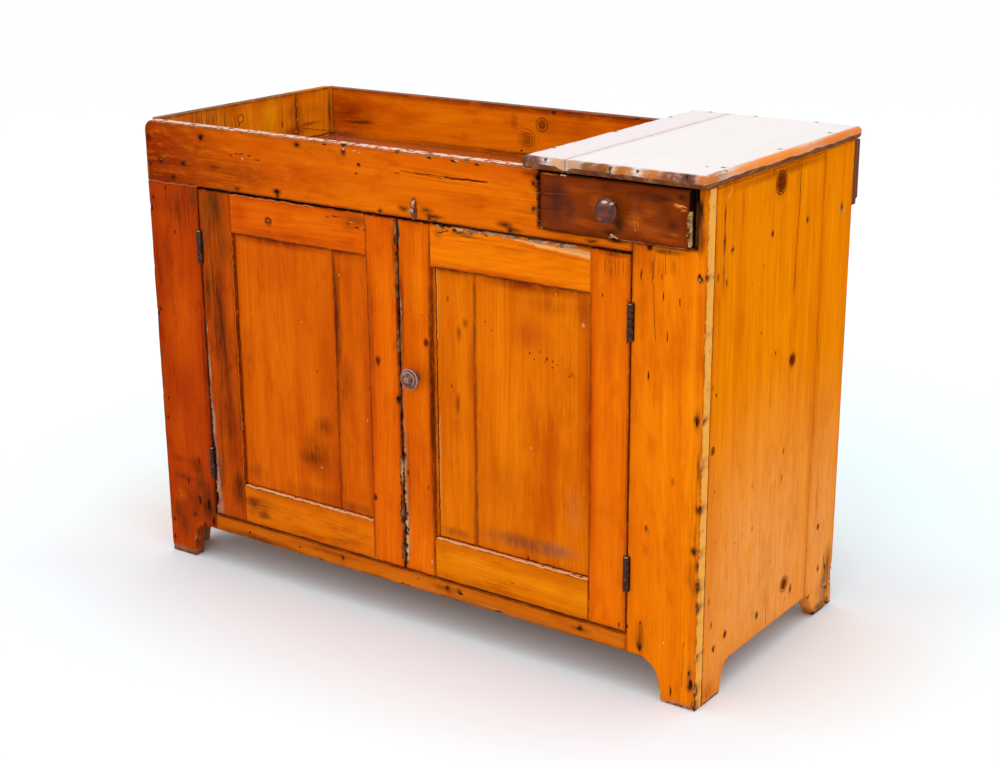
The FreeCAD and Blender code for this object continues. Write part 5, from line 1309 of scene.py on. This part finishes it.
SIDE_MARKS = {
    "right_side_front_board": dict(
        # The large pale patch low on the side is painted reflection of the floor.
        patches=[(230, 140, 440, 440, colour(244, 160, 80), 1.0),
                 (52, 832, 5, 34, colour(130, 44, 4), 1.0),
                 (53, 790, 7, 34, colour(66, 46, 34), 1.0),
                 (53, 740, 6, 46, colour(140, 84, 40), 0.9),
                 (111, 840, 9, 60, colour(190, 84, 8), 0.7),
                 (250, 872, 280, 12, colour(170, 82, 10), 0.8),
                 (40, 300, 20, 300, colour(226, 120, 30), 0.6),
                 (308, 690, 6, 60, colour(190, 84, 10), 0.7),
                 (218, 800, 6, 60, colour(206, 96, 8), 0.6),
                 (180, 40, 200, 50, colour(216, 128, 50), 0.6),
                 (40, 20, 40, 26, colour(190, 100, 30), 0.7)],
        strokes=[((22.5, 885), (22.5, 0), 1.1, colour(70, 34, 10), 1.2),
                 ((24, 880), (400, 880), 2.2, colour(150, 64, 6), 0.7),
                 ((60, 860), (74, 874), 1.0, colour(250, 206, 150), 0.7),
                 ((30, 2), (90, 2), 2.6, DIRT_AND_SHADE, 0.9)],
        knots=[(242, 854, 17, 17), (312, 535, 11, 11), (36, 452, 4, 6), (99, 104, 5, 6),
               (318, 115, 11, 11)],
        dark=[(218, 774, 2.6, 8), (246.5, 564, 2, 5), (190, 612, 1.8, 4), (347, 98, 3, 9),
              (59, 91, 3, 7), (40, 12, 2, 4), (46, 379, 1.6, 4), (123, 262, 1.6, 3),
              (215, 93, 3.5, 9), (345, 773, 2.5, 4), (41, 545, 3, 4), (22, 640, 2, 3)],
        circles=[(36, 452, 6.5, 1.3, DIRT_AND_SHADE, 0.8), (318, 115, 15, 2.0, colour(130, 56, 12), 0.7),
                 (242, 854, 19, 2.2, colour(60, 16, 4), 0.9)],
        cracks=[((313, 875), (313, 805), 1.5), ((313, 805), (309, 734), 1.3),
                ((308, 734), (305, 655), 0.7), ((247, 130), (252, 62), 0.8),
                ((40, 700), (44, 640), 0.5)]),
    "right_side_rear_board": dict(
        # The large pale patch low on the side is painted reflection of the floor.
        patches=[(460, 140, 140, 420, colour(244, 160, 80), 1.0),
                 (482, 768, 14, 12, colour(140, 130, 84), 0.8),
                 (486, 46, 40, 40, colour(176, 128, 88), 0.9),
                 (500, 90, 26, 60, colour(150, 92, 50), 0.8),
                 (470, 12, 60, 14, colour(120, 84, 60), 0.9)],
        strokes=[((524, 880), (524, 0), 2.0, UMBER, 0.7), ((455, 4), (524, 4), 4, DIRT_AND_SHADE, 0.8)],
        knots=[(452, 180, 4, 5)],
        checks=[(495, 60, 30, 70, 1.0)],
        dark=[(481, 772, 3, 5), (491, 86, 3, 9), (500, 40, 3, 6), (507, 14, 4, 5)],
        circles=[(403, 146, 5, 1.4, colour(150, 66, 14), 0.8)],
        pale=[(470, 60, 6, 3), (492, 50, 5, 4), (478, 44, 4, 2)],
        cracks=[((409, 556), (420, 500), 0.8), ((483, 110), (500, 8), 1.3)]),
    "left_side_front_board": dict(knots=[(120, 640, 8, 10), (300, 240, 6, 7)],
                                  cracks=[((200, 885), (206, 780), 0.9)],
                                  strokes=[((0, 884.5), (524, 884.5), 1.6,
                                            colour(132, 96, 72), 0.9)],
                                  dark=[(80, 420, 2, 5), (260, 520, 3, 4)]),
    "left_side_rear_board": dict(knots=[(470, 600, 6, 7)], dark=[(440, 300, 3, 4)]),
}
REBATE = (Vector((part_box("back_board_1")[0].x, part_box("back_board_1")[0].y,
                  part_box("back_board_1")[0].z)),
          Vector((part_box("back_board_4")[1].x + 0.0008, 0.4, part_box("back_board_1")[1].z)))
for node, marks in SIDE_MARKS.items():
    outer = 1 if node.startswith("right") else -1
    board(node, outer, HONEY, inner=side_inner, mottle=0.3, blotch=0.5,
          shape=dict(round_mm=2.2, cut=REBATE if "rear" in node else None,
                     chips=[(524, 60, 40, 5), (500, 0, 30, 6), (460, 0, 20, 3)]
                     if node == "right_side_rear_board" else []),
          level=0.0, soil=0.25, seams=0.2, grain=UP, **marks)


def lid_edge(u, v):
    """The rounding of a lid board: full at the nosing, slight at the seam."""
    full = min(8.3, 0.8 + abs(u - LID_SEAM) / MM * 0.5)
    return full, full


LID_SEAM = (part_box("lid_narrow_board")[1].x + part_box("lid_wide_board")[0].x) / 2
BISTRE, WALNUT = colour(84, 42, 20), colour(142, 76, 26)


def nosing(*spots):
    """Patches on the front nosing of the work top, as (across, half width, colour)."""
    return [(across, -22, wide, 11, shade, 1.1) for across, wide, shade in spots]


# The near-white tone of the lid boards is partly worn pale finish and partly painted reflection
# of the bright room; the pale strokes along the top of the nosing and down the right edge are
# painted highlights.
LID_MARKS = {
    "lid_narrow_board": (9, colour(224, 209, 210), dict(
        patches=nosing((906, 32, colour(116, 68, 48)), (888, 12, BISTRE),
                       (958, 22, colour(206, 158, 116)))
        + [(892, -14, 26, 9, colour(110, 70, 60), 0.8),
           (884, 60, 8, 200, colour(150, 92, 56), 1.1),
           (884, 330, 6, 330, colour(186, 116, 70), 1.1)],
        strokes=[((896, -20), (976, -20), 0.9, colour(236, 206, 190), 1.1)],
        dark=[(933, -19, 4, 3)])),
    "lid_wide_board": (9, colour(227, 219, 216), dict(
        patches=nosing((986, 18, colour(190, 146, 112)), (1013, 20, colour(140, 84, 44)),
                       (1040, 24, WALNUT), (1078, 26, colour(178, 100, 36)),
                       (1128, 26, colour(190, 108, 40)),
                       (1160, 26, colour(136, 72, 30)), (1192, 24, colour(106, 58, 34)),
                       (1218, 16, colour(190, 106, 40)))
        + [(1228, -6, 12, 30, colour(196, 110, 44), 1.1),
           (1227, 200, 12, 220, colour(240, 138, 36), 1.1),
           (1227, 460, 12, 160, colour(230, 122, 24), 1.1),
           (1222, 20, 10, 40, colour(150, 84, 40), 0.9),
           (1190, -16, 40, 4, colour(200, 150, 120), 0.8)],
        strokes=[((1012, -20.6), (1222, -20.6), 0.9, colour(250, 216, 186), 1.1),
                 ((1223, 0), (1223, 500), 0.8, colour(252, 210, 160), 1.1)],
        dark=[(1104, -20, 4, 2), (1055, -20, 4, 2), (1184, 54, 4, 3), (1221, 46, 4, 3),
              (1190, -20, 4, 2)],
        pale=[(1058, -21, 2, 2), (1212, -16, 4, 3)])),
}
for node, (corner, tone, marks) in LID_MARKS.items():
    low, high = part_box(node)
    corners = [Vector(p) for p in ((low.x, low.y), (high.x, low.y), (high.x, high.y),
                                   (low.x, high.y))]
    board(node, 1, tone, grain=DEEP, level=0.06, coat=0.7, gloss=0.24, soil=0.12, seams=0.25,
          blotch=0.1, mottle=0.06, figure=0.0, lines=0.08, dings=0.2,
          beyond=(UP, 884.8, -1, colour(88, 42, 18)),
          shape=dict(points=corners, corner_mm=corner, edge=lid_edge), **marks)


def chamfered(u, v):
    """The well's back board has its lower outer edge planed off."""
    return 2.0, 11.0 if v < WELL_BACK_LOW + 0.01 else 1.6


WELL_BACK_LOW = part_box("well_back_board")[0].z
WELL = colour(240, 122, 4)


def well_back_outside(name, box, flat, grain, seed, nails=()):
    return wood(name, box, flat, grain, colour(190, 104, 34), seed + 50, soil=0.8,
                nails=nails)


board("well_back_board", -1, WELL, shape=dict(edge=chamfered), inner=well_back_outside,
      gloss=0.26, mottle=0.6, blotch=0.8,
      patches=[(600, 878, 760, 14, colour(150, 50, 3), 0.85),
               (60, 835, 120, 70, colour(160, 62, 3), 0.9),
               (92, 814, 60, 4, UMBER, 0.9), (46, 788, 60, 8, colour(120, 74, 44), 0.8),
               (110, 817, 34, 5, UMBER, 0.8), (10, 800, 22, 60, DIRT_AND_SHADE, 0.9),
               (600, 788, 640, 7, UMBER, 0.8), (524, 818, 30, 28, colour(196, 92, 6), 0.8),
               (559, 851, 17, 17, colour(120, 50, 8), 1.0),
               (524, 818, 12, 11, colour(164, 78, 8), 0.9),
               (493, 850, 14, 30, colour(150, 66, 8), 0.6),
               (576, 848, 40, 30, colour(196, 90, 6), 0.7),
               (640, 840, 90, 50, colour(196, 80, 4), 0.5),
               (300, 850, 120, 30, colour(250, 140, 8), 0.7),
               (700, 850, 60, 30, colour(236, 116, 4), 0.5),
               (1219, 830, 10, 70, colour(112, 84, 62), 0.9)],
      strokes=[((0, 881.5), (1220, 881.5), 1.3, colour(132, 84, 52), 0.8),
               ((1220, 880), (1220, 768), 6, colour(110, 64, 40), 1.2)],
      knots=[(587, 876, 4, 3)],
      circles=[(524, 818, 7, 3.0, colour(150, 70, 8), 0.9),
               (559, 851, 6, 4.0, colour(110, 46, 6), 0.9),
               (524, 818, 13, 2.0, colour(128, 60, 10), 0.9),
               (524, 820, 19, 1.8, colour(160, 80, 10), 0.8),
               (526, 822, 26, 1.8, colour(190, 104, 16), 0.6),
               (559, 851, 13.5, 2.2, colour(110, 48, 10), 0.9)],
      dark=[(510, 795, 5, 2.4)],
      pale=[(14, 815, 2, 2), (8, 800, 2, 2), (12, 792, 3, 1.6), (18, 789, 2, 1.4)])
board("well_end_board", -1, colour(200, 96, 10))
for place in ("front", "rear"):
    board(f"sink_floor_{place}_board", 1, colour(158, 72, 28), gloss=0.2, coat=0.7,
          level=0.5, blotch=0.7, figure=0.3,
          # The first patch and the two pale strokes, at the left, are painted reflection on the
          # glossy floor.
          patches=[(60, 490, 140, 40, colour(176, 112, 84), 0.8),
                   (300, 470, 260, 50, colour(176, 84, 34), 0.6),
                   (700, 480, 240, 60, colour(110, 44, 14), 0.6)],
          strokes=[((30, 445), (160, 470), 1.6, colour(226, 190, 168), 0.7),
                   ((90, 492), (260, 470), 1.2, colour(220, 180, 150), 0.6)])
board("drawer_front", -1, colour(132, 54, 4), level=0.02, coat=0.03, blotch=1.0, mottle=1.0,
      # Past 2.5 mm behind its face the drawer front is painted black: painted shadow on its
      # ends inside the opening.
      broken=(DIRT_AND_SHADE, colour(206, 160, 104)), soil=0.9, beyond=(DEEP, -2.5, 1, BLACK_GRIME_AND_SHADOW),
      shape=dict(round_mm=2.2, chips=[(917, 790, 7, 2), (1192.5, 830, 18, 1.4),
                                      (1192.5, 806, 12, 1.8), (1056, 787, 9, 3)],
                 bites=[(1056, 787, 8, 2.5), (916, 788, 6, 2)]),
      patches=[(948, 838, 30, 60, colour(78, 36, 22), 1.0),
               (974, 826, 16, 30, colour(74, 36, 28), 0.9),
               (938, 804, 24, 14, colour(110, 44, 10), 0.8),
               (930, 790, 40, 6, colour(120, 46, 10), 0.7),
               (985, 858, 36, 9, colour(164, 72, 12), 0.7),
               (1016, 866, 26, 10, colour(140, 54, 8), 0.8),
               (1025, 842, 22, 18, colour(184, 82, 10), 0.8),
               (1000, 806, 36, 14, colour(158, 66, 8), 0.8),
               (1040, 870, 30, 10, colour(90, 40, 12), 0.8),
               (1066, 812, 15, 22, colour(46, 18, 8), 1.0), (1052, 798, 22, 8, DIRT_AND_SHADE, 0.9),
               (1096, 822, 22, 24, colour(190, 90, 12), 0.8),
               (1122, 808, 34, 16, colour(180, 82, 8), 0.8),
               (1122, 838, 26, 16, colour(168, 76, 10), 0.8),
               (1085, 862, 20, 12, colour(104, 46, 12), 0.8),
               (1138, 862, 36, 9, colour(62, 28, 10), 1.0),
               (1162, 874, 28, 6, colour(110, 50, 12), 0.8),
               (1178, 868, 16, 9, DIRT_AND_SHADE, 0.9), (1150, 846, 18, 12, colour(100, 44, 8), 0.7),
               (1174, 854, 15, 4, colour(226, 134, 44), 0.9),
               (1182, 848, 9, 3, colour(236, 150, 60), 0.8),
               (1163, 822, 18, 14, colour(70, 30, 10), 0.95),
               (1166, 809, 12, 4, colour(190, 96, 24), 0.7),
               (1150, 798, 52, 7, colour(180, 80, 10), 0.8),
               (936, 878.5, 20, 2.4, colour(190, 96, 26), 1.1),
               (1094, 842, 6, 14, colour(128, 78, 60), 0.6)],
      # The pale stroke along the bottom edge (the third) is painted highlight; the black stroke
      # high on the right end is painted shadow.
      strokes=[((957, 880), (966, 879), 0.9, colour(226, 196, 170), 1.2),
               ((1000, 879.6), (1190, 879.6), 0.8, DIRT_AND_SHADE, 0.8),
               ((1070, 788), (1188, 788), 0.7, colour(166, 116, 84), 1.2),
               ((1000, 788), (1050, 788), 0.6, colour(96, 44, 16), 0.8),
               ((1166, 857), (1187, 853), 0.8, colour(240, 176, 96), 0.8),
               ((1192.5, 846), (1192.5, 793), 1.2, colour(214, 164, 104), 1.2),
               ((1192.5, 880), (1192.5, 848), 1.6, BLACK_GRIME_AND_SHADOW, 1.2),
               ((917, 880), (917, 790), 1.0, DIRT_AND_SHADE, 1.2),
               ((1093, 822), (1097, 806), 0.7, colour(214, 130, 60), 0.8),
               ((1099, 820), (1102, 808), 0.6, colour(214, 130, 60), 0.7),
               ((928, 846), (966, 850), 0.8, colour(120, 78, 60), 0.5)],
      circles=[(1112, 834, 25, 1.8, colour(104, 58, 36), 0.6)],
      checks=[(945, 838, 36, 40, 0.9), (1130, 862, 60, 16, 0.8), (1050, 820, 120, 40, 0.5)],
      pale=[(1060, 790, 6, 2), (1054, 794, 3, 2.4)],
      dark=[(1056, 785, 9, 3), (924, 788, 5, 2)])

for node, outer, grain in (
        ("back_board_1", 1, UP), ("back_board_2", 1, UP), ("back_board_3", 1, UP),
        ("back_board_4", 1, UP), ("cupboard_bottom_front_board", 1, ACROSS),
        ("cupboard_bottom_rear_board", 1, ACROSS), ("shelf_front_board", 1, ACROSS),
        ("shelf_rear_board", 1, ACROSS), ("drawer_left_side", -1, DEEP),
        ("drawer_right_side", 1, DEEP), ("drawer_back", 1, ACROSS),
        ("drawer_bottom", 1, ACROSS), ("sink_floor_bearer", -1, ACROSS)):
    board(node, outer, DRY, grain=grain, bare=True)


# ---- Knobs, turn button and ironwork -----------------------------------------------------

KNOB_FACETS, PROFILE_STEPS = 72, 4


def turned(node, profile, finish):
    """A turned knob: its profile of (radius, height) in mm, spun round the screw's line."""
    low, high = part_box(node)
    middle = ((low.x + high.x) / 2, (low.z + high.z) / 2)
    height = profile[-1][1]
    mesh = bmesh.new()
    rings, fine = [], []
    for i in range(len(profile) - 1):
        p0, p1 = profile[max(i - 1, 0)], profile[i]
        p2, p3 = profile[i + 1], profile[min(i + 2, len(profile) - 1)]
        for k in range(PROFILE_STEPS):
            t = k / PROFILE_STEPS
            fine.append([0.5 * (2 * b + (c - a) * t + (2 * a - 5 * b + 4 * c - d) * t * t
                                + (3 * b - a - 3 * c + d) * t ** 3)
                         for a, b, c, d in zip(p0, p1, p2, p3)])
    fine.append(profile[-1])
    for radius, out in fine:
        ring = []
        for k in range(KNOB_FACETS):
            turn = 2 * math.pi * k / KNOB_FACETS
            wear = 1 - 0.012 * abs(noise.noise(Vector((math.cos(turn) * 2, out * 0.1,
                                                       math.sin(turn) * 2))))
            ring.append(mesh.verts.new((middle[0] + max(radius, 0) * wear * MM
                                        * math.cos(turn),
                                        low.y + (height - out) * MM,
                                        middle[1] + max(radius, 0) * wear * MM
                                        * math.sin(turn))))
        rings.append(ring)
    for below, above in zip(rings, rings[1:]):
        for k in range(KNOB_FACETS):
            on = (k + 1) % KNOB_FACETS
            mesh.faces.new((below[k], below[on], above[on], above[k])).smooth = True
    mesh.faces.new(rings[0])
    bmesh.ops.remove_doubles(mesh, verts=mesh.verts, dist=2e-6)
    bmesh.ops.recalc_face_normals(mesh, faces=mesh.faces)
    settle(node + "_turned", mesh, node, [finish(middle)])


def dark_knob(middle):
    # The pale rubs near the top are painted highlights and the grey one at the lower left a
    # painted reflection; the black band is painted shade in the groove and the pale band a
    # painted reflection on the rim.
    lit = colour(232, 190, 178)
    return turned_wood("dark_knob_gloss", middle, colour(66, 25, 12), colour(96, 40, 18),
                       0.2, 0.34, [(17.4, 1.1, BLACK_GRIME_AND_SHADOW, 0.8),
                                   (19.0, 0.9, colour(120, 86, 78), 0.4)],
                       rubs_and_painted_light=[(1, -4, 11, 8, colour(124, 36, 14), 0.8),
                             (1, 13, 12, 6, colour(120, 76, 66), 0.8),
                             (1, 14.5, 8, 3, lit, 0.9), (12.5, 12.5, 4, 3, lit, 0.7),
                             (-10, -14, 9, 4, colour(140, 104, 94), 0.7),
                             (-15, -4, 3, 9, colour(90, 56, 44), 0.6)])


def faded_knob(middle):
    # The groove bands are painted shade in the lathe grooves and the pink bands partly worn
    # finish and partly painted highlight on the ridges; the pale rub at the upper left is
    # painted highlight and the dark one at the lower right painted shade.
    pink, groove = colour(206, 160, 142), colour(66, 36, 28)
    return turned_wood("faded_knob_rubbed_and_lit", middle, colour(134, 88, 70),
                       colour(92, 56, 46), 0.08, 0.45,
                       [(18.0, 1.5, pink, 0.7), (15.8, 1.2, groove, 0.8),
                        (13.2, 1.6, pink, 0.5), (10.9, 1.1, groove, 0.8),
                        (8.0, 1.0, groove, 0.6), (3.5, 3.0, pink, 0.5)],
                       rubs_and_painted_light=[(6, -12, 14, 8, colour(84, 48, 40), 0.7),
                             (-8, 10, 10, 7, colour(186, 144, 128), 0.5)])


turned("drawer_knob", [(8.8, -1.5), (9.2, 0), (8.6, 1.5), (7.7, 5), (7.5, 9), (9, 12.6),
                       (14.4, 15.8), (18.8, 18.8), (20.4, 22.2), (20.3, 24.2), (19.2, 26.4),
                       (17.9, 27.6), (17.1, 27.5), (16.2, 28.4), (12, 31.4), (8, 33),
                       (4, 33.8), (0, 34)], dark_knob)
turned("right_door_knob", [(8.5, -1.5), (9, 0), (8.3, 2), (7.6, 6), (8.4, 10),
                           (13.4, 13.2), (17.9, 16), (19.4, 18.8), (19.3, 20.8),
                           (18.0, 22.6), (16.3, 23.2), (15.6, 22.7), (14.8, 24), (13, 25.6),
                           (11.3, 26), (10.8, 25.6), (10.2, 26.9), (8.6, 28.2), (7.9, 27.9),
                           (7, 29), (4, 29.9), (0, 30)], faded_knob)


def whittled(node, finish):
    """The turn button: a stick whittled thin at its ends and thick where its screw goes."""
    low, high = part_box(node)
    middle, half = (low.x + high.x) / 2, (high.x - low.x) / 2
    rows, around = 30, 18
    mesh = bmesh.new()
    grid = []
    for i in range(rows + 1):
        share = i / rows
        end = min(1.0, 5.5 * share, 6.0 * (1 - share)) ** 0.5
        swell = 1.0 - 0.34 * max(0.0, share - 0.42) / 0.58 - 0.2 * max(0.0, 0.3 - share) / 0.3
        row = []
        for k in range(around):
            turn = math.pi * k / (around - 1)
            cut = 1 - 0.14 * abs(noise.noise(Vector((k * 0.35, share * 9, 4.1))))
            wide = half * max(0.12, swell * end) * cut
            deep = (high.y - low.y) * max(0.15, (0.55 + 0.45 * swell) * end) * cut
            row.append(mesh.verts.new((middle + wide * math.cos(turn),
                                       high.y - deep * math.sin(turn) ** 0.8,
                                       low.z + (high.z - low.z) * share)))
        grid.append(row)
    for below, above in zip(grid, grid[1:]):
        for k in range(around):
            on = (k + 1) % around
            mesh.faces.new((below[k], below[on], above[on], above[k])).smooth = k < around - 1
    mesh.faces.new(grid[0])
    mesh.faces.new(grid[-1])
    bmesh.ops.recalc_face_normals(mesh, faces=mesh.faces)
    settle(node + "_whittled", mesh, node, [finish])


whittled("turn_button", bare_wood(
    "turn_button_pine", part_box("turn_button"), DEEP, UP, colour(186, 128, 104), next(seeds),
    mottle=0.9,
    # The two pale patches and the pale dots are painted highlights, and the dark patch on the
    # right is painted shade.
    patches=[(651, 797, 5, 9, colour(244, 206, 184), 0.9),
             (646, 776, 5, 6, colour(226, 184, 150), 0.8),
             (655, 782, 4, 12, colour(112, 70, 44), 0.9)],
    checks=[(649, 784, 9, 14, 1.0)], pale=[(652, 800, 2, 4), (645, 778, 2, 2)],
    dark=[(648, 784, 1.6, 1.6)]))


def paint(node, material):
    """Gives the mesh of a CAD node its finish."""
    slots = frame["nodes"][node].data.materials
    slots.clear()
    slots.append(material)


OLD_IRON = iron("old_hinge_iron", colour(52, 32, 24), colour(92, 50, 28),
                colour(150, 122, 100), 0.4)
# Pale iron for the hinge pins, worn bright at their tips, and for the button's screw, whose
# pale colour is a painted highlight.
PIN_IRON = iron("rubbed_and_highlit_pin_iron", colour(170, 150, 134), colour(96, 60, 40),
                colour(236, 222, 210), 0.3)
NAIL_IRON = iron("rusted_nail_iron", colour(48, 28, 20), colour(92, 44, 20),
                 colour(118, 88, 70), 0.5)
NAIL_TREE = nail_tree()
for node, head_mm, length_mm in (("face_nails", 2.7, 20), ("side_nails", 2.7, 20),
                                 ("lid_nails", 2.8, 16), ("back_nails", 3.0, 14),
                                 ("drawer_nails", 1.8, 10)):
    drive_nails(node, NAIL_TREE, NAIL_IRON, head_mm, length_mm)
for node in ("shelf_cleats", "drawer_guides"):
    paint(node, bare_wood(node + "_dry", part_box(node), UP, DEEP, DRY, next(seeds)))
for node in frame["nodes"]:
    if SLOT_OF[node] in ("hinge_iron", "nail_iron") or node == "button_screw":
        paint(node, PIN_IRON if node in ("hinge_pins", "button_screw") else OLD_IRON)


# ---- Floor, light and camera ---------------------------------------------------------

FLOOR_HALF = 30                    # m
FLOOR_PAINT = (0.895, 0.945, 0.985, 1)
GLOW_CLEAR = (0.03, 0.095, 0.09, 1)     # the floor's own light past the shadow
GLOW_FAR = (0.19, 0.15, 0.12, 1)        # the same, added further out
CASE_HALF = (0.61, 0.27, 0.0)      # m
ROOM_LIGHT = 0.88
LAMPS = (("top_softbox", (0.4, -0.8, 3.4), 3.0, 30.0),
         ("front_softbox", (1.2, -3.6, 2.4), 2.4, 22.0))
STANDPOINT = (1.8477, -2.5444, 1.4070)  # m
YAW_PITCH_ROLL = (35.456, 17.654, -0.416)
FRAME_WIDE, FOCAL = 1000, 1737.825      # pixels
SENSOR = 36.0                      # mm


def studio():
    """A pale floor that keeps the shadow, a white room and two soft lamps."""
    mesh = bmesh.new()
    bmesh.ops.create_grid(mesh, x_segments=1, y_segments=1, size=FLOOR_HALF)
    data = bpy.data.meshes.new("studio_floor")
    mesh.to_mesh(data)
    mesh.free()
    floor = bpy.data.objects.new("studio_floor", data)
    scene.collection.objects.link(floor)
    finish = Finish("floor_paint", {"Roughness": 0.9, "Specular IOR Level": 0.1,
                                    "Base Color": FLOOR_PAINT,
                                    "Emission Strength": 1.0})
    seen = finish.node("ShaderNodeLightPath", output="Is Camera Ray")
    distance = finish.vector("LENGTH", finish.place, output=1)
    past = finish.vector("SUBTRACT", finish.vector("ABSOLUTE", finish.place), CASE_HALF)
    across, deep = (finish.node("ShaderNodeSeparateXYZ", {}, (past,), axis)
                    for axis in (ACROSS, DEEP))
    clear = across.math("MAXIMUM", across, deep).over(0.06, 0.45)
    tint = finish.blend(seen * clear, (0, 0, 0, 1), GLOW_CLEAR)
    tint = finish.blend(seen * distance.over(0.9, 2.6), tint, GLOW_FAR)
    data.materials.append(finish.feed({"Emission Color": tint}))

    world = bpy.data.worlds.new("studio")
    scene.world = world
    world.use_nodes = True
    tree = world.node_tree
    lit = tree.nodes["Background"]
    lit.inputs["Color"].default_value = (1, 1, 1, 1)
    lit.inputs["Strength"].default_value = ROOM_LIGHT
    seen = tree.nodes.new("ShaderNodeBackground")
    seen.inputs["Color"].default_value = (1, 1, 1, 1)
    path, mix = tree.nodes.new("ShaderNodeLightPath"), tree.nodes.new("ShaderNodeMixShader")
    either = tree.nodes.new("ShaderNodeMath")
    either.operation = "MAXIMUM"
    tree.links.new(path.outputs["Is Camera Ray"], either.inputs[0])
    tree.links.new(path.outputs["Is Glossy Ray"], either.inputs[1])
    tree.links.new(either.outputs[0], mix.inputs[0])
    tree.links.new(lit.outputs[0], mix.inputs[1])
    tree.links.new(seen.outputs[0], mix.inputs[2])
    tree.links.new(mix.outputs[0], tree.nodes["World Output"].inputs[0])

    for name, place, size, power in LAMPS:
        lamp = bpy.data.lights.new(name, "AREA")
        lamp.size, lamp.energy = size, power
        holder = bpy.data.objects.new(name, lamp)
        aim = Vector((0, 0, 0.4)) - Vector(place)
        holder.matrix_world = (Matrix.Translation(place)
                               @ aim.to_track_quat("-Z", "Y").to_matrix().to_4x4())
        scene.collection.objects.link(holder)


def camera():
    """The viewpoint, from which the case's edges run to their vanishing points."""
    yaw, pitch, roll = (math.radians(a) for a in YAW_PITCH_ROLL)
    right = Vector((math.cos(yaw), math.sin(yaw), 0))
    ahead = Vector((-math.sin(yaw) * math.cos(pitch), math.cos(yaw) * math.cos(pitch),
                    -math.sin(pitch)))
    up = right.cross(ahead)
    right, up = (math.cos(roll) * right + math.sin(roll) * up,
                 math.cos(roll) * up - math.sin(roll) * right)
    lens = bpy.data.cameras.new("camera")
    lens.sensor_width, lens.lens = SENSOR, FOCAL / FRAME_WIDE * SENSOR
    lens.clip_end = 100.0
    holder = bpy.data.objects.new("camera", lens)
    turn = Matrix((right, up, -ahead)).transposed().to_4x4()
    holder.matrix_world = Matrix.Translation(STANDPOINT) @ turn
    scene.collection.objects.link(holder)
    scene.camera = holder


camera()
studio()
scene.view_settings.view_transform = "Standard"
